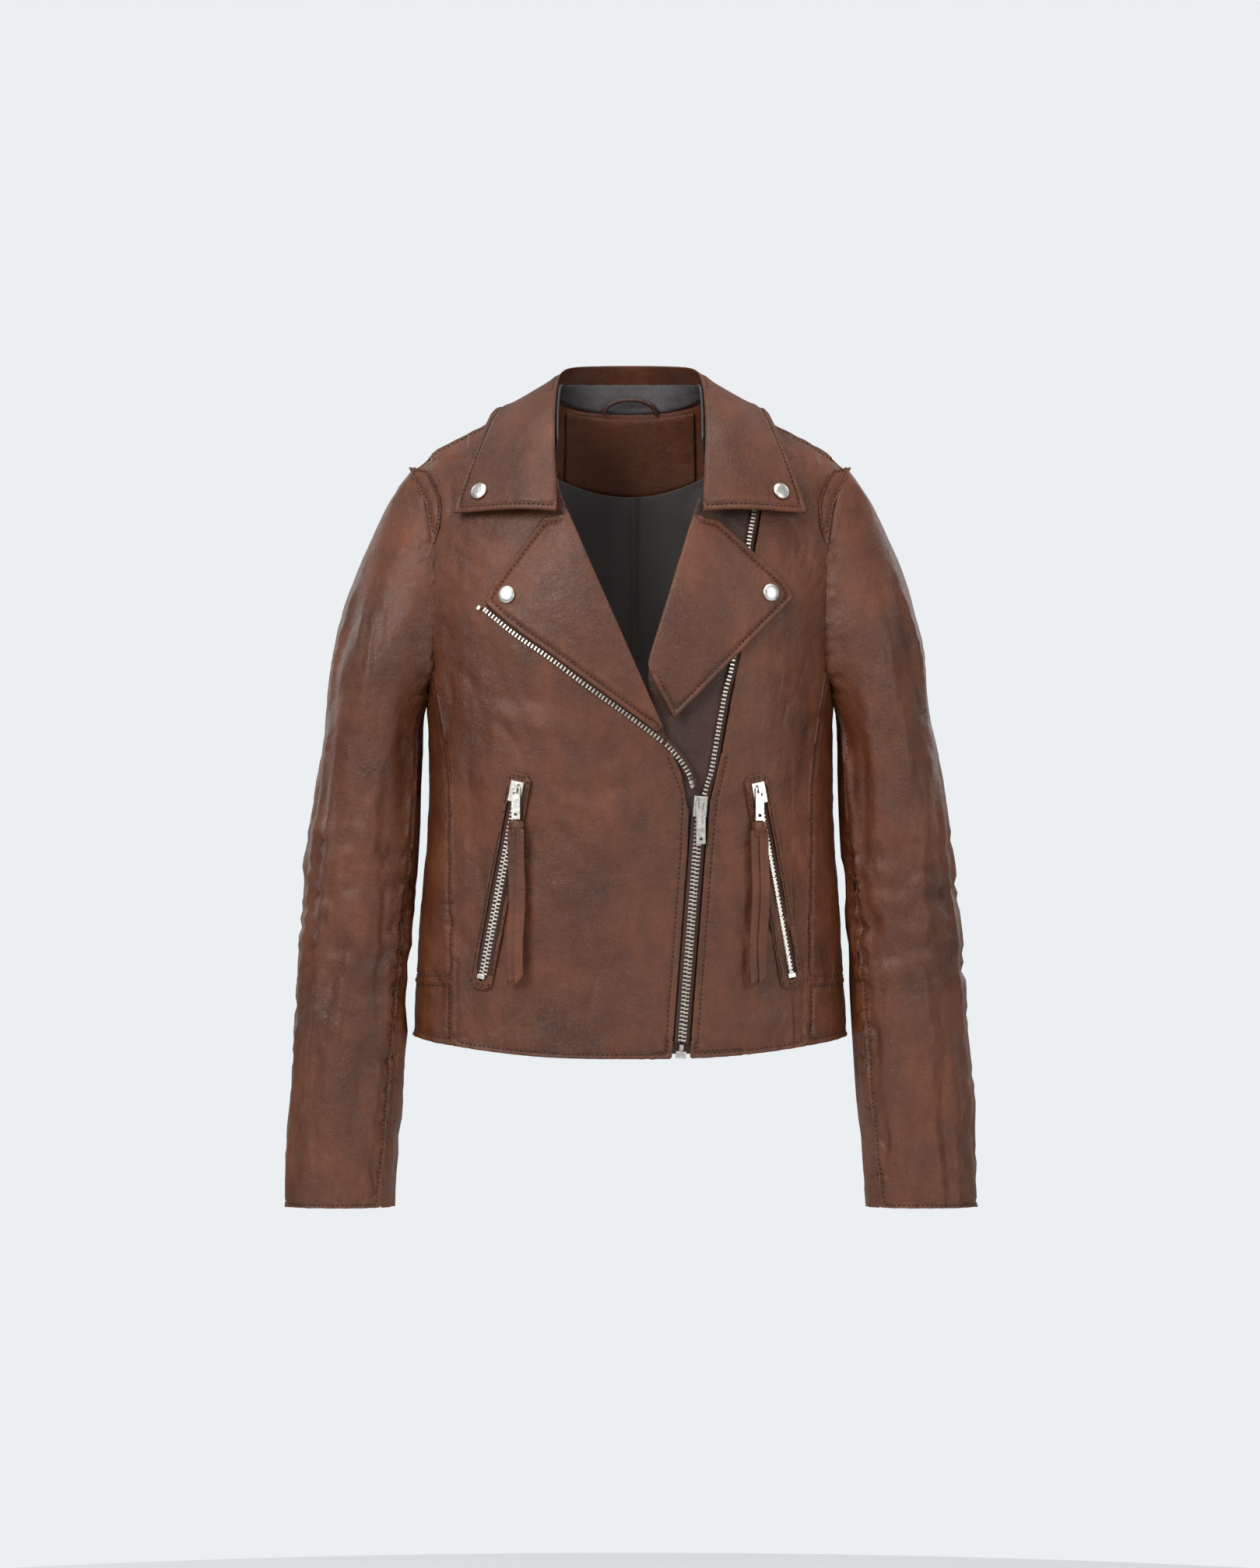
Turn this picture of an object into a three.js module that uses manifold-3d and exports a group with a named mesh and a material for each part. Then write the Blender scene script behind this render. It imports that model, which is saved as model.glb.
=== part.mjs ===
// A leather riding jacket, hanging upright by its neck loop.
// Millimetres, +Z up, front facing -Y, wearer's right at -X. The origin is inside the hanger loop.
import * as THREE from "three";
import { mergeVertices } from "three/addons/utils/BufferGeometryUtils.js";
import Module from "manifold-3d";

// ---- Driving dimensions -------------------------------------------------------------------
const SHOULDER_HALF = 188; // centre to shoulder point
const SHOULDER_Z = -55; // shoulder point
const SHOULDER_SLOPE = 0.5; // rise of the shoulder seam towards the neck
const SHOULDER_Y = 5; // the shoulder seam lies just behind the middle
const NECK_HALF = 70; // centre to neck point
const NECK_DEPTH = 53; // how far the back neck seam stands behind the shoulder seam
const NECK_BACK_Z = -10; // back neck seam at the centre
const HEM_Z = -548; // hem at the centre front
const HEM_RISE = 17; // the hem is this much higher at the sides
const HEM_HALF = 181; // half width at the hem
const CUFF_Z = -673; // end of the sleeves
const BODY_POWER = 2.4; // roundness of a section: 2 is an ellipse
const LEATHER = 2; // shell leather with its backing
const LINING = 1;
const GAP = 0.7; // between pieces that are sewn edge to edge
const LAYER = 0.6; // between pieces that lie on each other
const LAPEL_LIFT = 2.2; // lapels lie on the snap studs
const LAPEL_THICK = 2.6;
const CHAIN_WIDTH = 5.6; // closed row of teeth
const CHAIN_THICK = 2.2;
const TAPE_THICK = 0.8;
const TAPE_HALF = 6.2; // one zip tape, from the middle of the teeth
const SNAP_R = 7.5; // domed cap of a press snap
const SNAP_DOME = 2.4;
const POCKET_WIDTH = 21; // welt frame across
const POCKET_MARGIN = 7; // welt frame beyond the ends of the zip
const SLIDER = { width: 11, length: 17, plate: 1.3, clearance: 0.5 };
const PULL = { width: 7.5, length: 27, thick: 1.5 };
const TASSEL = { length: 128, strand: 8, thick: 1.6, knot: 5.6 };

// Body half width and front and back depth by height.
const HALF_WIDTH = [[-560, 183], [-531, 182], [-450, 178], [-362, 171], [-300, 170], [-240, 171],
  [-200, 178], [-147, 186], [-88, 191], [-55, 193], [60, 193]];
const FRONT_DEPTH = [[-560, 84], [-340, 92], [-240, 98], [-150, 96], [60, 96]];
const BACK_DEPTH = [[-560, 80], [-331, 84], [-240, 94], [-120, 92], [60, 92]];
const FRONT_RISE = 240; // height over which the front swells below the shoulder seam
const BACK_RISE = 150;

// Edges that panels share, as half width by height.
const ARMHOLE = [[-228, 163], [-201, 163.5], [-147, 163.5], [-109, 167], [-88, 171], [-55, 188]];
const SIDE_SEAM = [[-560, 146], [-445, 147], [-317, 149], [-228, 163]];
const ARMHOLE_FOOT = -228; // height at which the armhole meets the side seams

// Centre of the closed zip, from the hem to the slider.
const ZIP_FOOT = { x: 42.6, z: -536 };
const ZIP_HEAD = { x: 57.6, z: -340 };
const ZIP_SIDE = 7.6; // leather edges keep this far from the middle of the teeth

// The wearer's right lapel, folded: roll line, tip and the edge that carries the zip.
const ROLL_RIGHT = [[-58.5, -79], [31, -283]];
const LAPEL_RIGHT_TOP = [-70, -103];
const LAPEL_RIGHT_TIP = [-120, -170];
const LAPEL_ZIP = [[-122, -178], [-95, -200], [-68, -218.5], [-38.7, -240.5], [-6, -264],
  [17, -281], [33, -294.5], [46, -312], [51, -326]];
const ROLL_LEFT = [[59, -74], [13.5, -224]];
const LAPEL_LEFT_TOP = [72, -105];
const COLLAR_CLEAR = -101; // the lapels start just below the collar's front ends
const LAPEL_LEFT_TIP = [137, -165];
const LAPEL_LEFT_FOOT = [36, -268];
// Row of teeth on the wearer's left front, above the slider.
const LEFT_ZIP = [[57.6, -340], [62, -322], [66, -309], [71, -279], [77, -246], [83, -222],
  [90, -170], [97, -120], [101, -98], [106, -62]];
const POCKETS = {
  right: { top: [-91, -320], foot: [-122.5, -484] },
  left: { top: [103.5, -321], foot: [133, -483] },
};

// ---- Small tools --------------------------------------------------------------------------
const wasm = await Module();
wasm.setup();
const lerp = THREE.MathUtils.lerp;
const vec = (x, y, z) => new THREE.Vector3(x, y, z);
const jacket = new THREE.Group();

const COLOURS = {
  leather: [0x6f4530, 0.5, 0],
  charcoal: [0x3c3636, 0.6, 0],
  satin: [0x37312f, 0.35, 0],
  nickel: [0xd8d6d2, 0.25, 1],
  tape: [0x3a2318, 0.8, 0],
};

function add(name, colour, geometry) {
  const [color, roughness, metalness] = COLOURS[colour];
  const mesh = new THREE.Mesh(geometry, new THREE.MeshStandardMaterial({ color, roughness, metalness }));
  mesh.name = name;
  jacket.add(mesh);
  return mesh;
}

// Smooth value between the rows of a table of [height, value], sorted upwards.
function table(rows, z) {
  if (z <= rows[0][0]) return rows[0][1];
  for (let i = 1; i < rows.length; i++) {
    const [z0, a] = rows[i - 1], [z1, b] = rows[i];
    if (z <= z1) return lerp(a, b, (z - z0) / (z1 - z0));
  }
  return rows[rows.length - 1][1];
}

function curve2(points) {
  return new THREE.CatmullRomCurve3(points.map(([x, z]) => vec(x, 0, z)), false, "centripetal");
}

function toSolid(geometry) {
  const plain = geometry.clone();
  plain.deleteAttribute("normal");
  plain.deleteAttribute("uv");
  const merged = mergeVertices(plain, 1e-3);
  return new wasm.Manifold(new wasm.Mesh({
    numProp: 3,
    vertProperties: merged.attributes.position.array,
    triVerts: new Uint32Array(merged.index.array),
  }));
}

function fromSolid(solid) {
  const mesh = solid.getMesh();
  const geometry = new THREE.BufferGeometry();
  geometry.setAttribute("position", new THREE.BufferAttribute(new Float32Array(mesh.vertProperties), 3));
  geometry.setIndex(new THREE.BufferAttribute(new Uint32Array(mesh.triVerts), 1));
  return geometry;
}

const join = (...geometries) => fromSolid(geometries.map(toSolid).reduce((a, b) => a.add(b)));
const cut = (geometry, tool) => fromSolid(toSolid(geometry).subtract(toSolid(tool)));

function boxAt(width, depth, height, x, y, z) {
  return new THREE.BoxGeometry(width, depth, height).translate(x, y, z);
}

// A closed sheet: outer(u, v) is its outer face, and it is as thick as said behind that face.
// behind is a rough direction from the outer face to the back face.
function sheet(outer, thickness, nu, nv, behind, wrap = false) {
  const columns = wrap ? nu : nu + 1;
  const step = 1e-3;
  const faces = [[], []];
  for (let j = 0; j <= nv; j++)
    for (let i = 0; i < columns; i++) {
      const u = i / nu, v = j / nv;
      const p = outer(u, v);
      const u0 = wrap ? u - step : Math.max(0, u - step), u1 = wrap ? u + step : Math.min(1, u + step);
      const du = outer(u1, v).sub(outer(u0, v));
      const dv = outer(u, Math.min(1, v + step)).sub(outer(u, Math.max(0, v - step)));
      const n = du.cross(dv).normalize();
      const back = behind(u, v, p);
      if (n.dot(back) < 0) n.negate();
      const t = typeof thickness === "function" ? thickness(u, v) : thickness;
      faces[0].push(p);
      faces[1].push(p.clone().addScaledVector(n, t));
    }
  const points = [...faces[0], ...faces[1]];
  const half = faces[0].length, index = [];
  const at = (i, j, side) => side * half + j * columns + (i % columns);
  const quad = (a, b, c, d) => index.push(a, b, c, a, c, d);
  for (let j = 0; j < nv; j++)
    for (let i = 0; i < nu; i++) {
      quad(at(i, j, 0), at(i + 1, j, 0), at(i + 1, j + 1, 0), at(i, j + 1, 0));
      quad(at(i, j + 1, 1), at(i + 1, j + 1, 1), at(i + 1, j, 1), at(i, j, 1));
    }
  for (let i = 0; i < nu; i++) {
    quad(at(i, 0, 1), at(i + 1, 0, 1), at(i + 1, 0, 0), at(i, 0, 0));
    quad(at(i, nv, 0), at(i + 1, nv, 0), at(i + 1, nv, 1), at(i, nv, 1));
  }
  if (!wrap)
    for (let j = 0; j < nv; j++) {
      quad(at(0, j, 0), at(0, j + 1, 0), at(0, j + 1, 1), at(0, j, 1));
      quad(at(nu, j, 1), at(nu, j + 1, 1), at(nu, j + 1, 0), at(nu, j, 0));
    }
  let volume = 0;
  for (let k = 0; k < index.length; k += 3) {
    const [a, b, c] = [points[index[k]], points[index[k + 1]], points[index[k + 2]]];
    volume += a.dot(b.clone().cross(c));
  }
  if (volume < 0)
    for (let k = 0; k < index.length; k += 3) [index[k + 1], index[k + 2]] = [index[k + 2], index[k + 1]];
  const geometry = new THREE.BufferGeometry();
  geometry.setAttribute("position", new THREE.Float32BufferAttribute(points.flatMap((p) => p.toArray()), 3));
  geometry.setIndex(index);
  return geometry;
}

// ---- The body's outer surface -------------------------------------------------------------
const shoulderZ = (x) => SHOULDER_Z + SHOULDER_SLOPE * (SHOULDER_HALF - Math.abs(x));
const NECK_Z = shoulderZ(NECK_HALF);
const halfWidth = (z) => table(HALF_WIDTH, z);
const hemZ = (x) => HEM_Z + HEM_RISE * Math.pow(Math.min(1, Math.abs(x) / HEM_HALF), 2.5);
// How far the cloth has swelled out below a seam: 1 is a straight start, 2 a round one.
const swell = (drop, height, round = 2) => {
  const t = THREE.MathUtils.clamp(drop / height, 0, 1);
  return Math.pow(1 - (1 - t) * (1 - t), 1 / round);
};
const arch = (x, z) =>
  Math.pow(Math.max(0, 1 - Math.pow(Math.min(1, Math.abs(x) / halfWidth(z)), BODY_POWER)), 1 / BODY_POWER);

// Top edge of the back: the shoulder seam, and between the neck points the back neck seam.
function backTop(x) {
  const t = Math.min(1, Math.abs(x) / NECK_HALF);
  if (t >= 1) return { y: SHOULDER_Y, z: shoulderZ(x) };
  const round = Math.sqrt(1 - t * t);
  return { y: SHOULDER_Y + NECK_DEPTH * round, z: lerp(NECK_Z, NECK_BACK_Z, round) };
}

function frontY(x, z) {
  const g = swell(shoulderZ(x) - z, FRONT_RISE);
  return lerp(SHOULDER_Y - GAP / 2, -table(FRONT_DEPTH, z) * arch(x, z), g);
}

function backY(x, z) {
  const top = backTop(x);
  const g = swell(top.z - z, BACK_RISE, lerp(1, 1.7, THREE.MathUtils.smoothstep(Math.abs(x), 40, 130)));
  return lerp(top.y + GAP / 2, table(BACK_DEPTH, z) * arch(x, z), g);
}

const front = (x, z) => vec(x, frontY(x, z), z);
const back = (x, z) => vec(x, backY(x, z), z);

// A point moved off a surface along its normal; sign says which way y the outside lies.
function off(surface, x, z, distance, outside) {
  const e = 0.5;
  const p = surface(x, z);
  const n = surface(x + e, z).sub(surface(x - e, z)).cross(surface(x, z + e).sub(surface(x, z - e))).normalize();
  if (n.y * outside < 0) n.negate();
  return p.addScaledVector(n, distance);
}
const onFront = (x, z, distance) => off(front, x, z, distance, -1);
const onBack = (x, z, distance) => off(back, x, z, distance, 1);

// Side of the body: turn runs from 0 at the front seam to 1 at the back seam.
function aroundSide(side, turn, z, distance, inset = 0) {
  const seam = table(SIDE_SEAM, z), w = halfWidth(z);
  const start = Math.acos(Math.pow(Math.min(1, seam / w), BODY_POWER / 2));
  const trim = inset / 90;
  const a = lerp(-start + trim, start - trim, turn);
  const c = Math.cos(a), s = Math.sin(a);
  const depth = a < 0 ? table(FRONT_DEPTH, z) : table(BACK_DEPTH, z);
  const p = vec(side * w * Math.pow(c, 2 / BODY_POWER), depth * Math.sign(s) * Math.pow(Math.abs(s), 2 / BODY_POWER), z);
  const n = vec(side * Math.max(0.15, c), 1.6 * s, 0).normalize();
  return p.addScaledVector(n, distance);
}

// ---- Edges of the fronts ------------------------------------------------------------------
const byHeight = (points) => points.map(([x, z]) => [z, x]).sort((a, b) => a[0] - b[0]);
const zipMiddle = (z) => lerp(ZIP_FOOT.x, ZIP_HEAD.x, (z - ZIP_FOOT.z) / (ZIP_HEAD.z - ZIP_FOOT.z));
const neckPoint = [NECK_HALF + 2, NECK_Z - 1];
const rightEdge = byHeight([[zipMiddle(HEM_Z - 12) - ZIP_SIDE, HEM_Z - 12],
  [ZIP_HEAD.x - ZIP_SIDE, ZIP_HEAD.z], [50.4 - 3, -320], [42, -308], [ROLL_RIGHT[1][0] - 1, ROLL_RIGHT[1][1]],
  [ROLL_RIGHT[0][0], ROLL_RIGHT[0][1]], [-neckPoint[0], neckPoint[1]]]);
const leftEdge = byHeight([[zipMiddle(HEM_Z - 12) + ZIP_SIDE, HEM_Z - 12],
  ...LEFT_ZIP.map(([x, z]) => [x + ZIP_SIDE, z])]);

// Rows lie closer together towards the shoulder seam, where the cloth turns over.
const packed = (row) => 1 - Math.pow(1 - row, 1.5);
function frontPanel(side, edge, top) {
  // side is -1 for the wearer's right. top is [x, z] where the inner edge meets the shoulder seam.
  const edgeFoot = table(edge, HEM_Z);
  return (u, row) => {
    const v = packed(row);
    const zIn = lerp(hemZ(edgeFoot), top[1], v);
    const zOut = lerp(hemZ(146), SHOULDER_Z, v);
    const xOut = side * ((zOut > ARMHOLE_FOOT ? table(ARMHOLE, zOut) : table(SIDE_SEAM, zOut)) - GAP);
    const x = lerp(table(edge, zIn), xOut, u);
    const low = hemZ(lerp(edgeFoot, side * 146, u));
    const high = shoulderZ(lerp(top[0], side * SHOULDER_HALF, u));
    return { x, z: lerp(low, high, v) };
  };
}

// ---- Body panels --------------------------------------------------------------------------
const rightTop = [-neckPoint[0], neckPoint[1]];
const leftTop = [LEFT_ZIP.at(-1)[0] + ZIP_SIDE, shoulderZ(LEFT_ZIP.at(-1)[0] + ZIP_SIDE)];
const inwardsFront = () => vec(0, 1, 0);
const inwardsBack = () => vec(0, -1, 0);
const BAND_Z = -484; // top edge of the side hem bands

const rightMap = frontPanel(-1, rightEdge, rightTop);
const leftMap = frontPanel(1, leftEdge, leftTop);
for (const [name, map] of [["front_panel_right", rightMap], ["front_panel_left", leftMap]])
  add(name, "leather", sheet((u, v) => {
    const { x, z } = map(u, v);
    return front(x, z);
  }, LEATHER, 11, 14, inwardsFront));

function backMap(u, row) {
  const v = packed(row);
  // Half of the columns lie between the neck points, where the top edge is round.
  const neck = NECK_HALF / SHOULDER_HALF;
  const even = u * 2 - 1, side = Math.sign(even);
  const a = Math.abs(even) < 0.5 ? Math.abs(even) * 2 * neck : lerp(neck, 1, Math.abs(even) * 2 - 1);
  const s = side * a;
  const zOut = lerp(hemZ(146), SHOULDER_Z, v);
  const xOut = (zOut > ARMHOLE_FOOT ? table(ARMHOLE, zOut) : table(SIDE_SEAM, zOut)) - GAP;
  const x = s * xOut;
  return { x, z: lerp(hemZ(146 * a), backTop(x).z, v) };
}
add("back_panel", "leather", sheet((u, v) => {
  const { x, z } = backMap(u, v);
  return back(x, z);
}, LEATHER, 20, 11, inwardsBack));

for (const [word, side] of [["right", -1], ["left", 1]]) {
  const middle = () => vec(-side, 0, 0);
  const footOf = (u) => ARMHOLE_FOOT - 16 * Math.sin(Math.PI * u);
  add(`side_panel_${word}`, "leather", sheet(
    (u, v) => aroundSide(side, u, lerp(BAND_Z + GAP / 2, footOf(u), v), 0, GAP), LEATHER, 8, 8, middle));
  add(`hem_band_${word}`, "leather", sheet(
    (u, v) => aroundSide(side, u, lerp(hemZ(146 + 35 * Math.sin(Math.PI * u)), BAND_Z - GAP / 2, v), 0, GAP),
    LEATHER, 8, 2, middle));
}

// Linings and the facing hang a layer inside the leather.
const INSIDE = LEATHER + 4.1; // room for the pocket bags and the zip guard
const BACK_INSIDE = LEATHER + 2.1;
function liningFront(side, edge, start) {
  return (u, v) => {
    const zIn = lerp(HEM_Z + 22, start, v);
    const zOut = lerp(HEM_Z + 34, SHOULDER_Z - 14, v);
    const seam = zOut > ARMHOLE_FOOT ? table(ARMHOLE, zOut) - 6 : table(SIDE_SEAM, zOut) - 6;
    const x = lerp(table(edge, zIn), side * seam, u);
    return onFront(x, lerp(zIn, zOut, u), -INSIDE);
  };
}
const insideRight = rightEdge.map(([z, x]) => [z, Math.min(x - 12, 22)]);
const insideLeft = leftEdge.map(([z, x]) => [z, x + 8]);
add("lining_front_right", "satin", sheet(liningFront(-1, insideRight, -44), LINING, 8, 10, inwardsFront));
add("lining_front_left", "satin", sheet(liningFront(1, insideLeft, -64), LINING, 6, 10, inwardsFront));
const FACING_FOOT = -78; // lowest point of the back neck facing
const facingFoot = (x) => lerp(FACING_FOOT, -48, Math.pow(Math.min(1, Math.abs(x) / 84), 2));
add("lining_back", "satin", sheet((u, v) => {
  const s = u * 2 - 1;
  const zOut = lerp(HEM_Z + 34, SHOULDER_Z - 14, v);
  const seam = zOut > ARMHOLE_FOOT ? table(ARMHOLE, zOut) - 6 : table(SIDE_SEAM, zOut) - 6;
  const x = s * seam;
  const top = Math.min(facingFoot(x) - GAP, backTop(x).z - 36);
  return onBack(x, lerp(HEM_Z + 22 + 12 * s * s, top, v), -BACK_INSIDE);
}, LINING, 14, 12, inwardsBack));
add("back_neck_facing", "leather", sheet((u, v) => {
  const x = (u * 2 - 1) * 56;
  return onBack(x, lerp(facingFoot(x), backTop(x).z - 2.5, v), -BACK_INSIDE);
}, LINING + 0.4, 10, 4, inwardsBack));

// ---- Sleeves ------------------------------------------------------------------------------
// Outer and inner edge, half depth and forward set of the hanging sleeve by height.
const SLEEVE_TOP = -266; // below this the sleeve is a plain tube
const SLEEVE_OUT = [[-673, 290], [-573, 287], [-483, 280.5], [-432, 276], [-381, 271], [-330, 264],
  [-278, 255], [-266, 253], [0, 253]];
const SLEEVE_IN = [[-673, 196], [-624, 190.5], [-573, 187.5], [-534, 184.5], [-450, 180.5], [-362, 173.5],
  [-300, 172.5], [0, 172.5]];
const SLEEVE_DEPTH = [[-673, 35], [-534, 44], [-362, 53], [-266, 60]];
const SLEEVE_FORWARD = [[-673, -18], [-534, -10], [-362, -2], [-266, 2]];
const SLEEVE_LIFT = 1.7; // the cap stands this far off the body's edge

// The armhole as a loop: turn 0 at the shoulder point, then forward and round.
function armhole(side, turn) {
  const t = ((turn % 1) + 1) % 1;
  const rim = (k, isFront) => {
    const z = lerp(SHOULDER_Z, ARMHOLE_FOOT, k);
    const x = side * (table(ARMHOLE, z) + SLEEVE_LIFT);
    return isFront ? front(x, z) : back(x, z);
  };
  if (t < 0.4) return rim(t / 0.4, true);
  if (t > 0.6) return rim((1 - t) / 0.4, false);
  const u = (t - 0.4) / 0.2;
  return aroundSide(side, u, ARMHOLE_FOOT - 16 * Math.sin(Math.PI * u), SLEEVE_LIFT);
}

function sleeveRing(side, turn, z) {
  const out = table(SLEEVE_OUT, z), inner = table(SLEEVE_IN, z);
  const angle = turn * 2 * Math.PI;
  const x = (out + inner) / 2 + (out - inner) / 2 * Math.cos(angle);
  return vec(side * x, table(SLEEVE_FORWARD, z) - table(SLEEVE_DEPTH, z) * Math.sin(angle), z);
}

const CAP = 0.46; // share of the sleeve's rows in the cap
function sleeveOuter(side, turn, v) {
  if (v >= CAP) {
    const z = lerp(SLEEVE_TOP, CUFF_Z, (v - CAP) / (1 - CAP));
    return sleeveRing(side, turn, z);
  }
  const t = v / CAP;
  const a = armhole(side, turn), e = sleeveRing(side, turn, SLEEVE_TOP);
  const reach = a.distanceTo(e);
  const outward = 0.5 + 0.5 * Math.cos(turn * 2 * Math.PI);
  const leave = vec(side * (0.45 + 0.25 * outward), -0.35 * Math.sin(turn * 2 * Math.PI), -0.9 + 0.2 * outward)
    .normalize().multiplyScalar(reach);
  const arrive = vec(0, 0, -reach * 0.9);
  const t2 = t * t, t3 = t2 * t;
  return a.multiplyScalar(2 * t3 - 3 * t2 + 1).addScaledVector(leave, t3 - 2 * t2 + t)
    .addScaledVector(e, 3 * t2 - 2 * t3).addScaledVector(arrive, t3 - t2);
}

const BACK_SLEEVE_SEAM = 0.66; // turn of the back seam
const frontSleeveSeam = (v) => lerp(0.47, 0.385, v);
const SEAM_TURN = 0.002;
for (const [word, side] of [["right", -1], ["left", 1]]) {
  const centre = (u, v, p) => {
    const z = Math.min(p.z, SLEEVE_TOP);
    const x = side * (table(SLEEVE_OUT, z) + table(SLEEVE_IN, z)) / 2;
    return vec(x, table(SLEEVE_FORWARD, z), p.z - 40 * Math.max(0, (p.z - SLEEVE_TOP) / 200)).sub(p);
  };
  add(`sleeve_upper_${word}`, "leather", sheet((u, v) =>
    sleeveOuter(side, lerp(BACK_SLEEVE_SEAM - 1 + SEAM_TURN, frontSleeveSeam(v) - SEAM_TURN, u), v),
  LEATHER, 13, 13, centre));
  add(`sleeve_under_${word}`, "leather", sheet((u, v) =>
    sleeveOuter(side, lerp(frontSleeveSeam(v) + SEAM_TURN, BACK_SLEEVE_SEAM - SEAM_TURN, u), v),
  LEATHER, 5, 13, centre));
  add(`sleeve_lining_${word}`, "satin", sheet((u, v) => {
    const w = lerp(0.22, 0.985, v);
    const p = sleeveOuter(side, u, w);
    const c = centre(u, w, p);
    return p.addScaledVector(c.normalize(), LEATHER + LAYER + 7.4);
  }, LINING, 13, 8, centre, true));
}

// Stitched strip beside each armhole, on the front.
for (const [word, side] of [["right", -1], ["left", 1]])
  add(`shoulder_strip_${word}`, "leather", sheet((u, v) => {
    const z = lerp(-58 - 3 * u, -122, v);
    const inset = lerp(2.5, lerp(17, 3.5, v * v), u);
    return onFront(side * (table(ARMHOLE, z) - inset), z, LAYER + 1);
  }, 1, 2, 8, inwardsFront));

// ---- Collar -------------------------------------------------------------------------------
const mirror = (points) => [...points, ...points.slice(0, -1).reverse().map(([x, y, z]) => [-x, y, z])];
const curve3 = (points) =>
  new THREE.CatmullRomCurve3(mirror(points).map((p) => vec(...p)), false, "centripetal");
const neckRise = 1.6;
const FOLD = curve3([[-60, -90, -97], [-60, -85, -78], [-61.5, -72, -50], [-62, -52, -20], [-61, -22, 6],
  [-58.5, 12, 21], [-53, 38, 28.5], [-36, 58, 31.5], [0, 66, 32.5]]);
const LEAF_EDGE = curve3([[-146, -58, -97], [-139, -48, -72], [-127, -30, -40], [-116, -8, -13],
  [-108, 22, -6], [-92, 60, -18], [-62, 86, -34], [-32, 97, -42], [0, 99, -44]]);
const STAND_FOOT = curve3([[-62.5, -46, -56], [-66.5, -30, -30], [-68, -10, -6], [-66.5, 8, 3.5], [-60, 27.5, 1.6],
  [-48, 43.5, -3.9], [-34, 52.5, -7.4], [-17, 58, -9], [0, 60, -9.4]]);
const COLLAR_THICK = 3;
const LEAF_RISE = 7; // the leaf's crown above a straight line from fold to edge
function leaf(u, v) {
  const f = FOLD.getPoint(u), o = LEAF_EDGE.getPoint(u);
  const outwards = vec(f.x + o.x, (f.y + o.y) * 0.9, 90).normalize();
  return f.clone().lerp(o, v).addScaledVector(outwards, LEAF_RISE * Math.sin(Math.PI * Math.pow(v, 0.6)));
}
add("collar_leaf", "leather", sheet(leaf, COLLAR_THICK, 32, 5, (u, v, p) => vec(-p.x, -p.y, -110)));
add("collar_stand", "charcoal", sheet((u, v) => {
  const w = lerp(0.16, 0.84, u);
  const f = FOLD.getPoint(w), foot = STAND_FOOT.getPoint(u);
  f.z -= 3.8;
  f.x *= 0.985;
  f.y = lerp(f.y, 10, 0.04);
  return foot.lerp(f, v);
}, 2, 28, 3, (u, v, p) => vec(-p.x, 10 - p.y, 0)));

// Hanger loop: a rolled leather strap sewn to the neck seam at both ends.
const LOOP = { half: 22, rise: 11, thick: 2.2, y: 52.2, foot: -9.5 };
const loopPath = new THREE.CatmullRomCurve3([
  vec(-LOOP.half, LOOP.y, LOOP.foot), vec(-LOOP.half * 0.85, LOOP.y - 2, LOOP.foot + LOOP.rise * 0.6),
  vec(-LOOP.half * 0.45, LOOP.y - 3, LOOP.foot + LOOP.rise * 0.97), vec(0, LOOP.y - 3.5, LOOP.foot + LOOP.rise * 1.06),
  vec(LOOP.half * 0.45, LOOP.y - 3, LOOP.foot + LOOP.rise * 0.97),
  vec(LOOP.half * 0.85, LOOP.y - 2, LOOP.foot + LOOP.rise * 0.6), vec(LOOP.half, LOOP.y, LOOP.foot)]);
const roundSection = (r) => {
  const shape = new THREE.Shape();
  shape.absarc(0, 0, r, 0, Math.PI * 2);
  return shape;
};
add("hanger_loop", "leather", new THREE.ExtrudeGeometry(roundSection(LOOP.thick), {
  steps: 18, curveSegments: 4, extrudePath: loopPath, bevelEnabled: false }));

// ---- Lapels -------------------------------------------------------------------------------
// rim(u) is the outer edge from the top of the roll line, round the tip, to its foot.
function path2(points) {
  const lengths = [0];
  for (let i = 1; i < points.length; i++)
    lengths.push(lengths[i - 1] + Math.hypot(points[i][0] - points[i - 1][0], points[i][1] - points[i - 1][1]));
  return (u) => {
    const d = u * lengths.at(-1);
    let i = 1;
    while (i < points.length - 1 && lengths[i] < d) i++;
    const t = (d - lengths[i - 1]) / (lengths[i] - lengths[i - 1]);
    return [lerp(points[i - 1][0], points[i][0], t), lerp(points[i - 1][1], points[i][1], t)];
  };
}
function lapel(roll, rim, tipShare) {
  const rimAt = path2(rim);
  return (u, v) => {
    const r = [lerp(roll[0][0], roll[1][0], u), lerp(roll[0][1], roll[1][1], u)];
    const t = u < tipShare.u ? lerp(0, tipShare.rim, u / tipShare.u)
      : lerp(tipShare.rim, 1, (u - tipShare.u) / (1 - tipShare.u));
    const o = rimAt(t);
    const lift = LAPEL_LIFT + LAPEL_THICK + 1.6 * Math.sin(Math.PI * Math.min(1, v * 1.6 + 0.15));
    return onFront(lerp(r[0], o[0], v), lerp(r[1], o[1], v), lift);
  };
}
const lapelZip = curve2(LAPEL_ZIP);
const EDGE_STEP = TAPE_HALF - 1.1; // leather edge to the middle of the teeth
const lapelEdge = [0.04, 0.15, 0.28, 0.42, 0.56, 0.68, 0.76].map((t) => {
  const p = lapelZip.getPointAt(t), d = lapelZip.getTangentAt(t);
  return [p.x - d.z * EDGE_STEP, p.z + d.x * EDGE_STEP];
});
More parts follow.
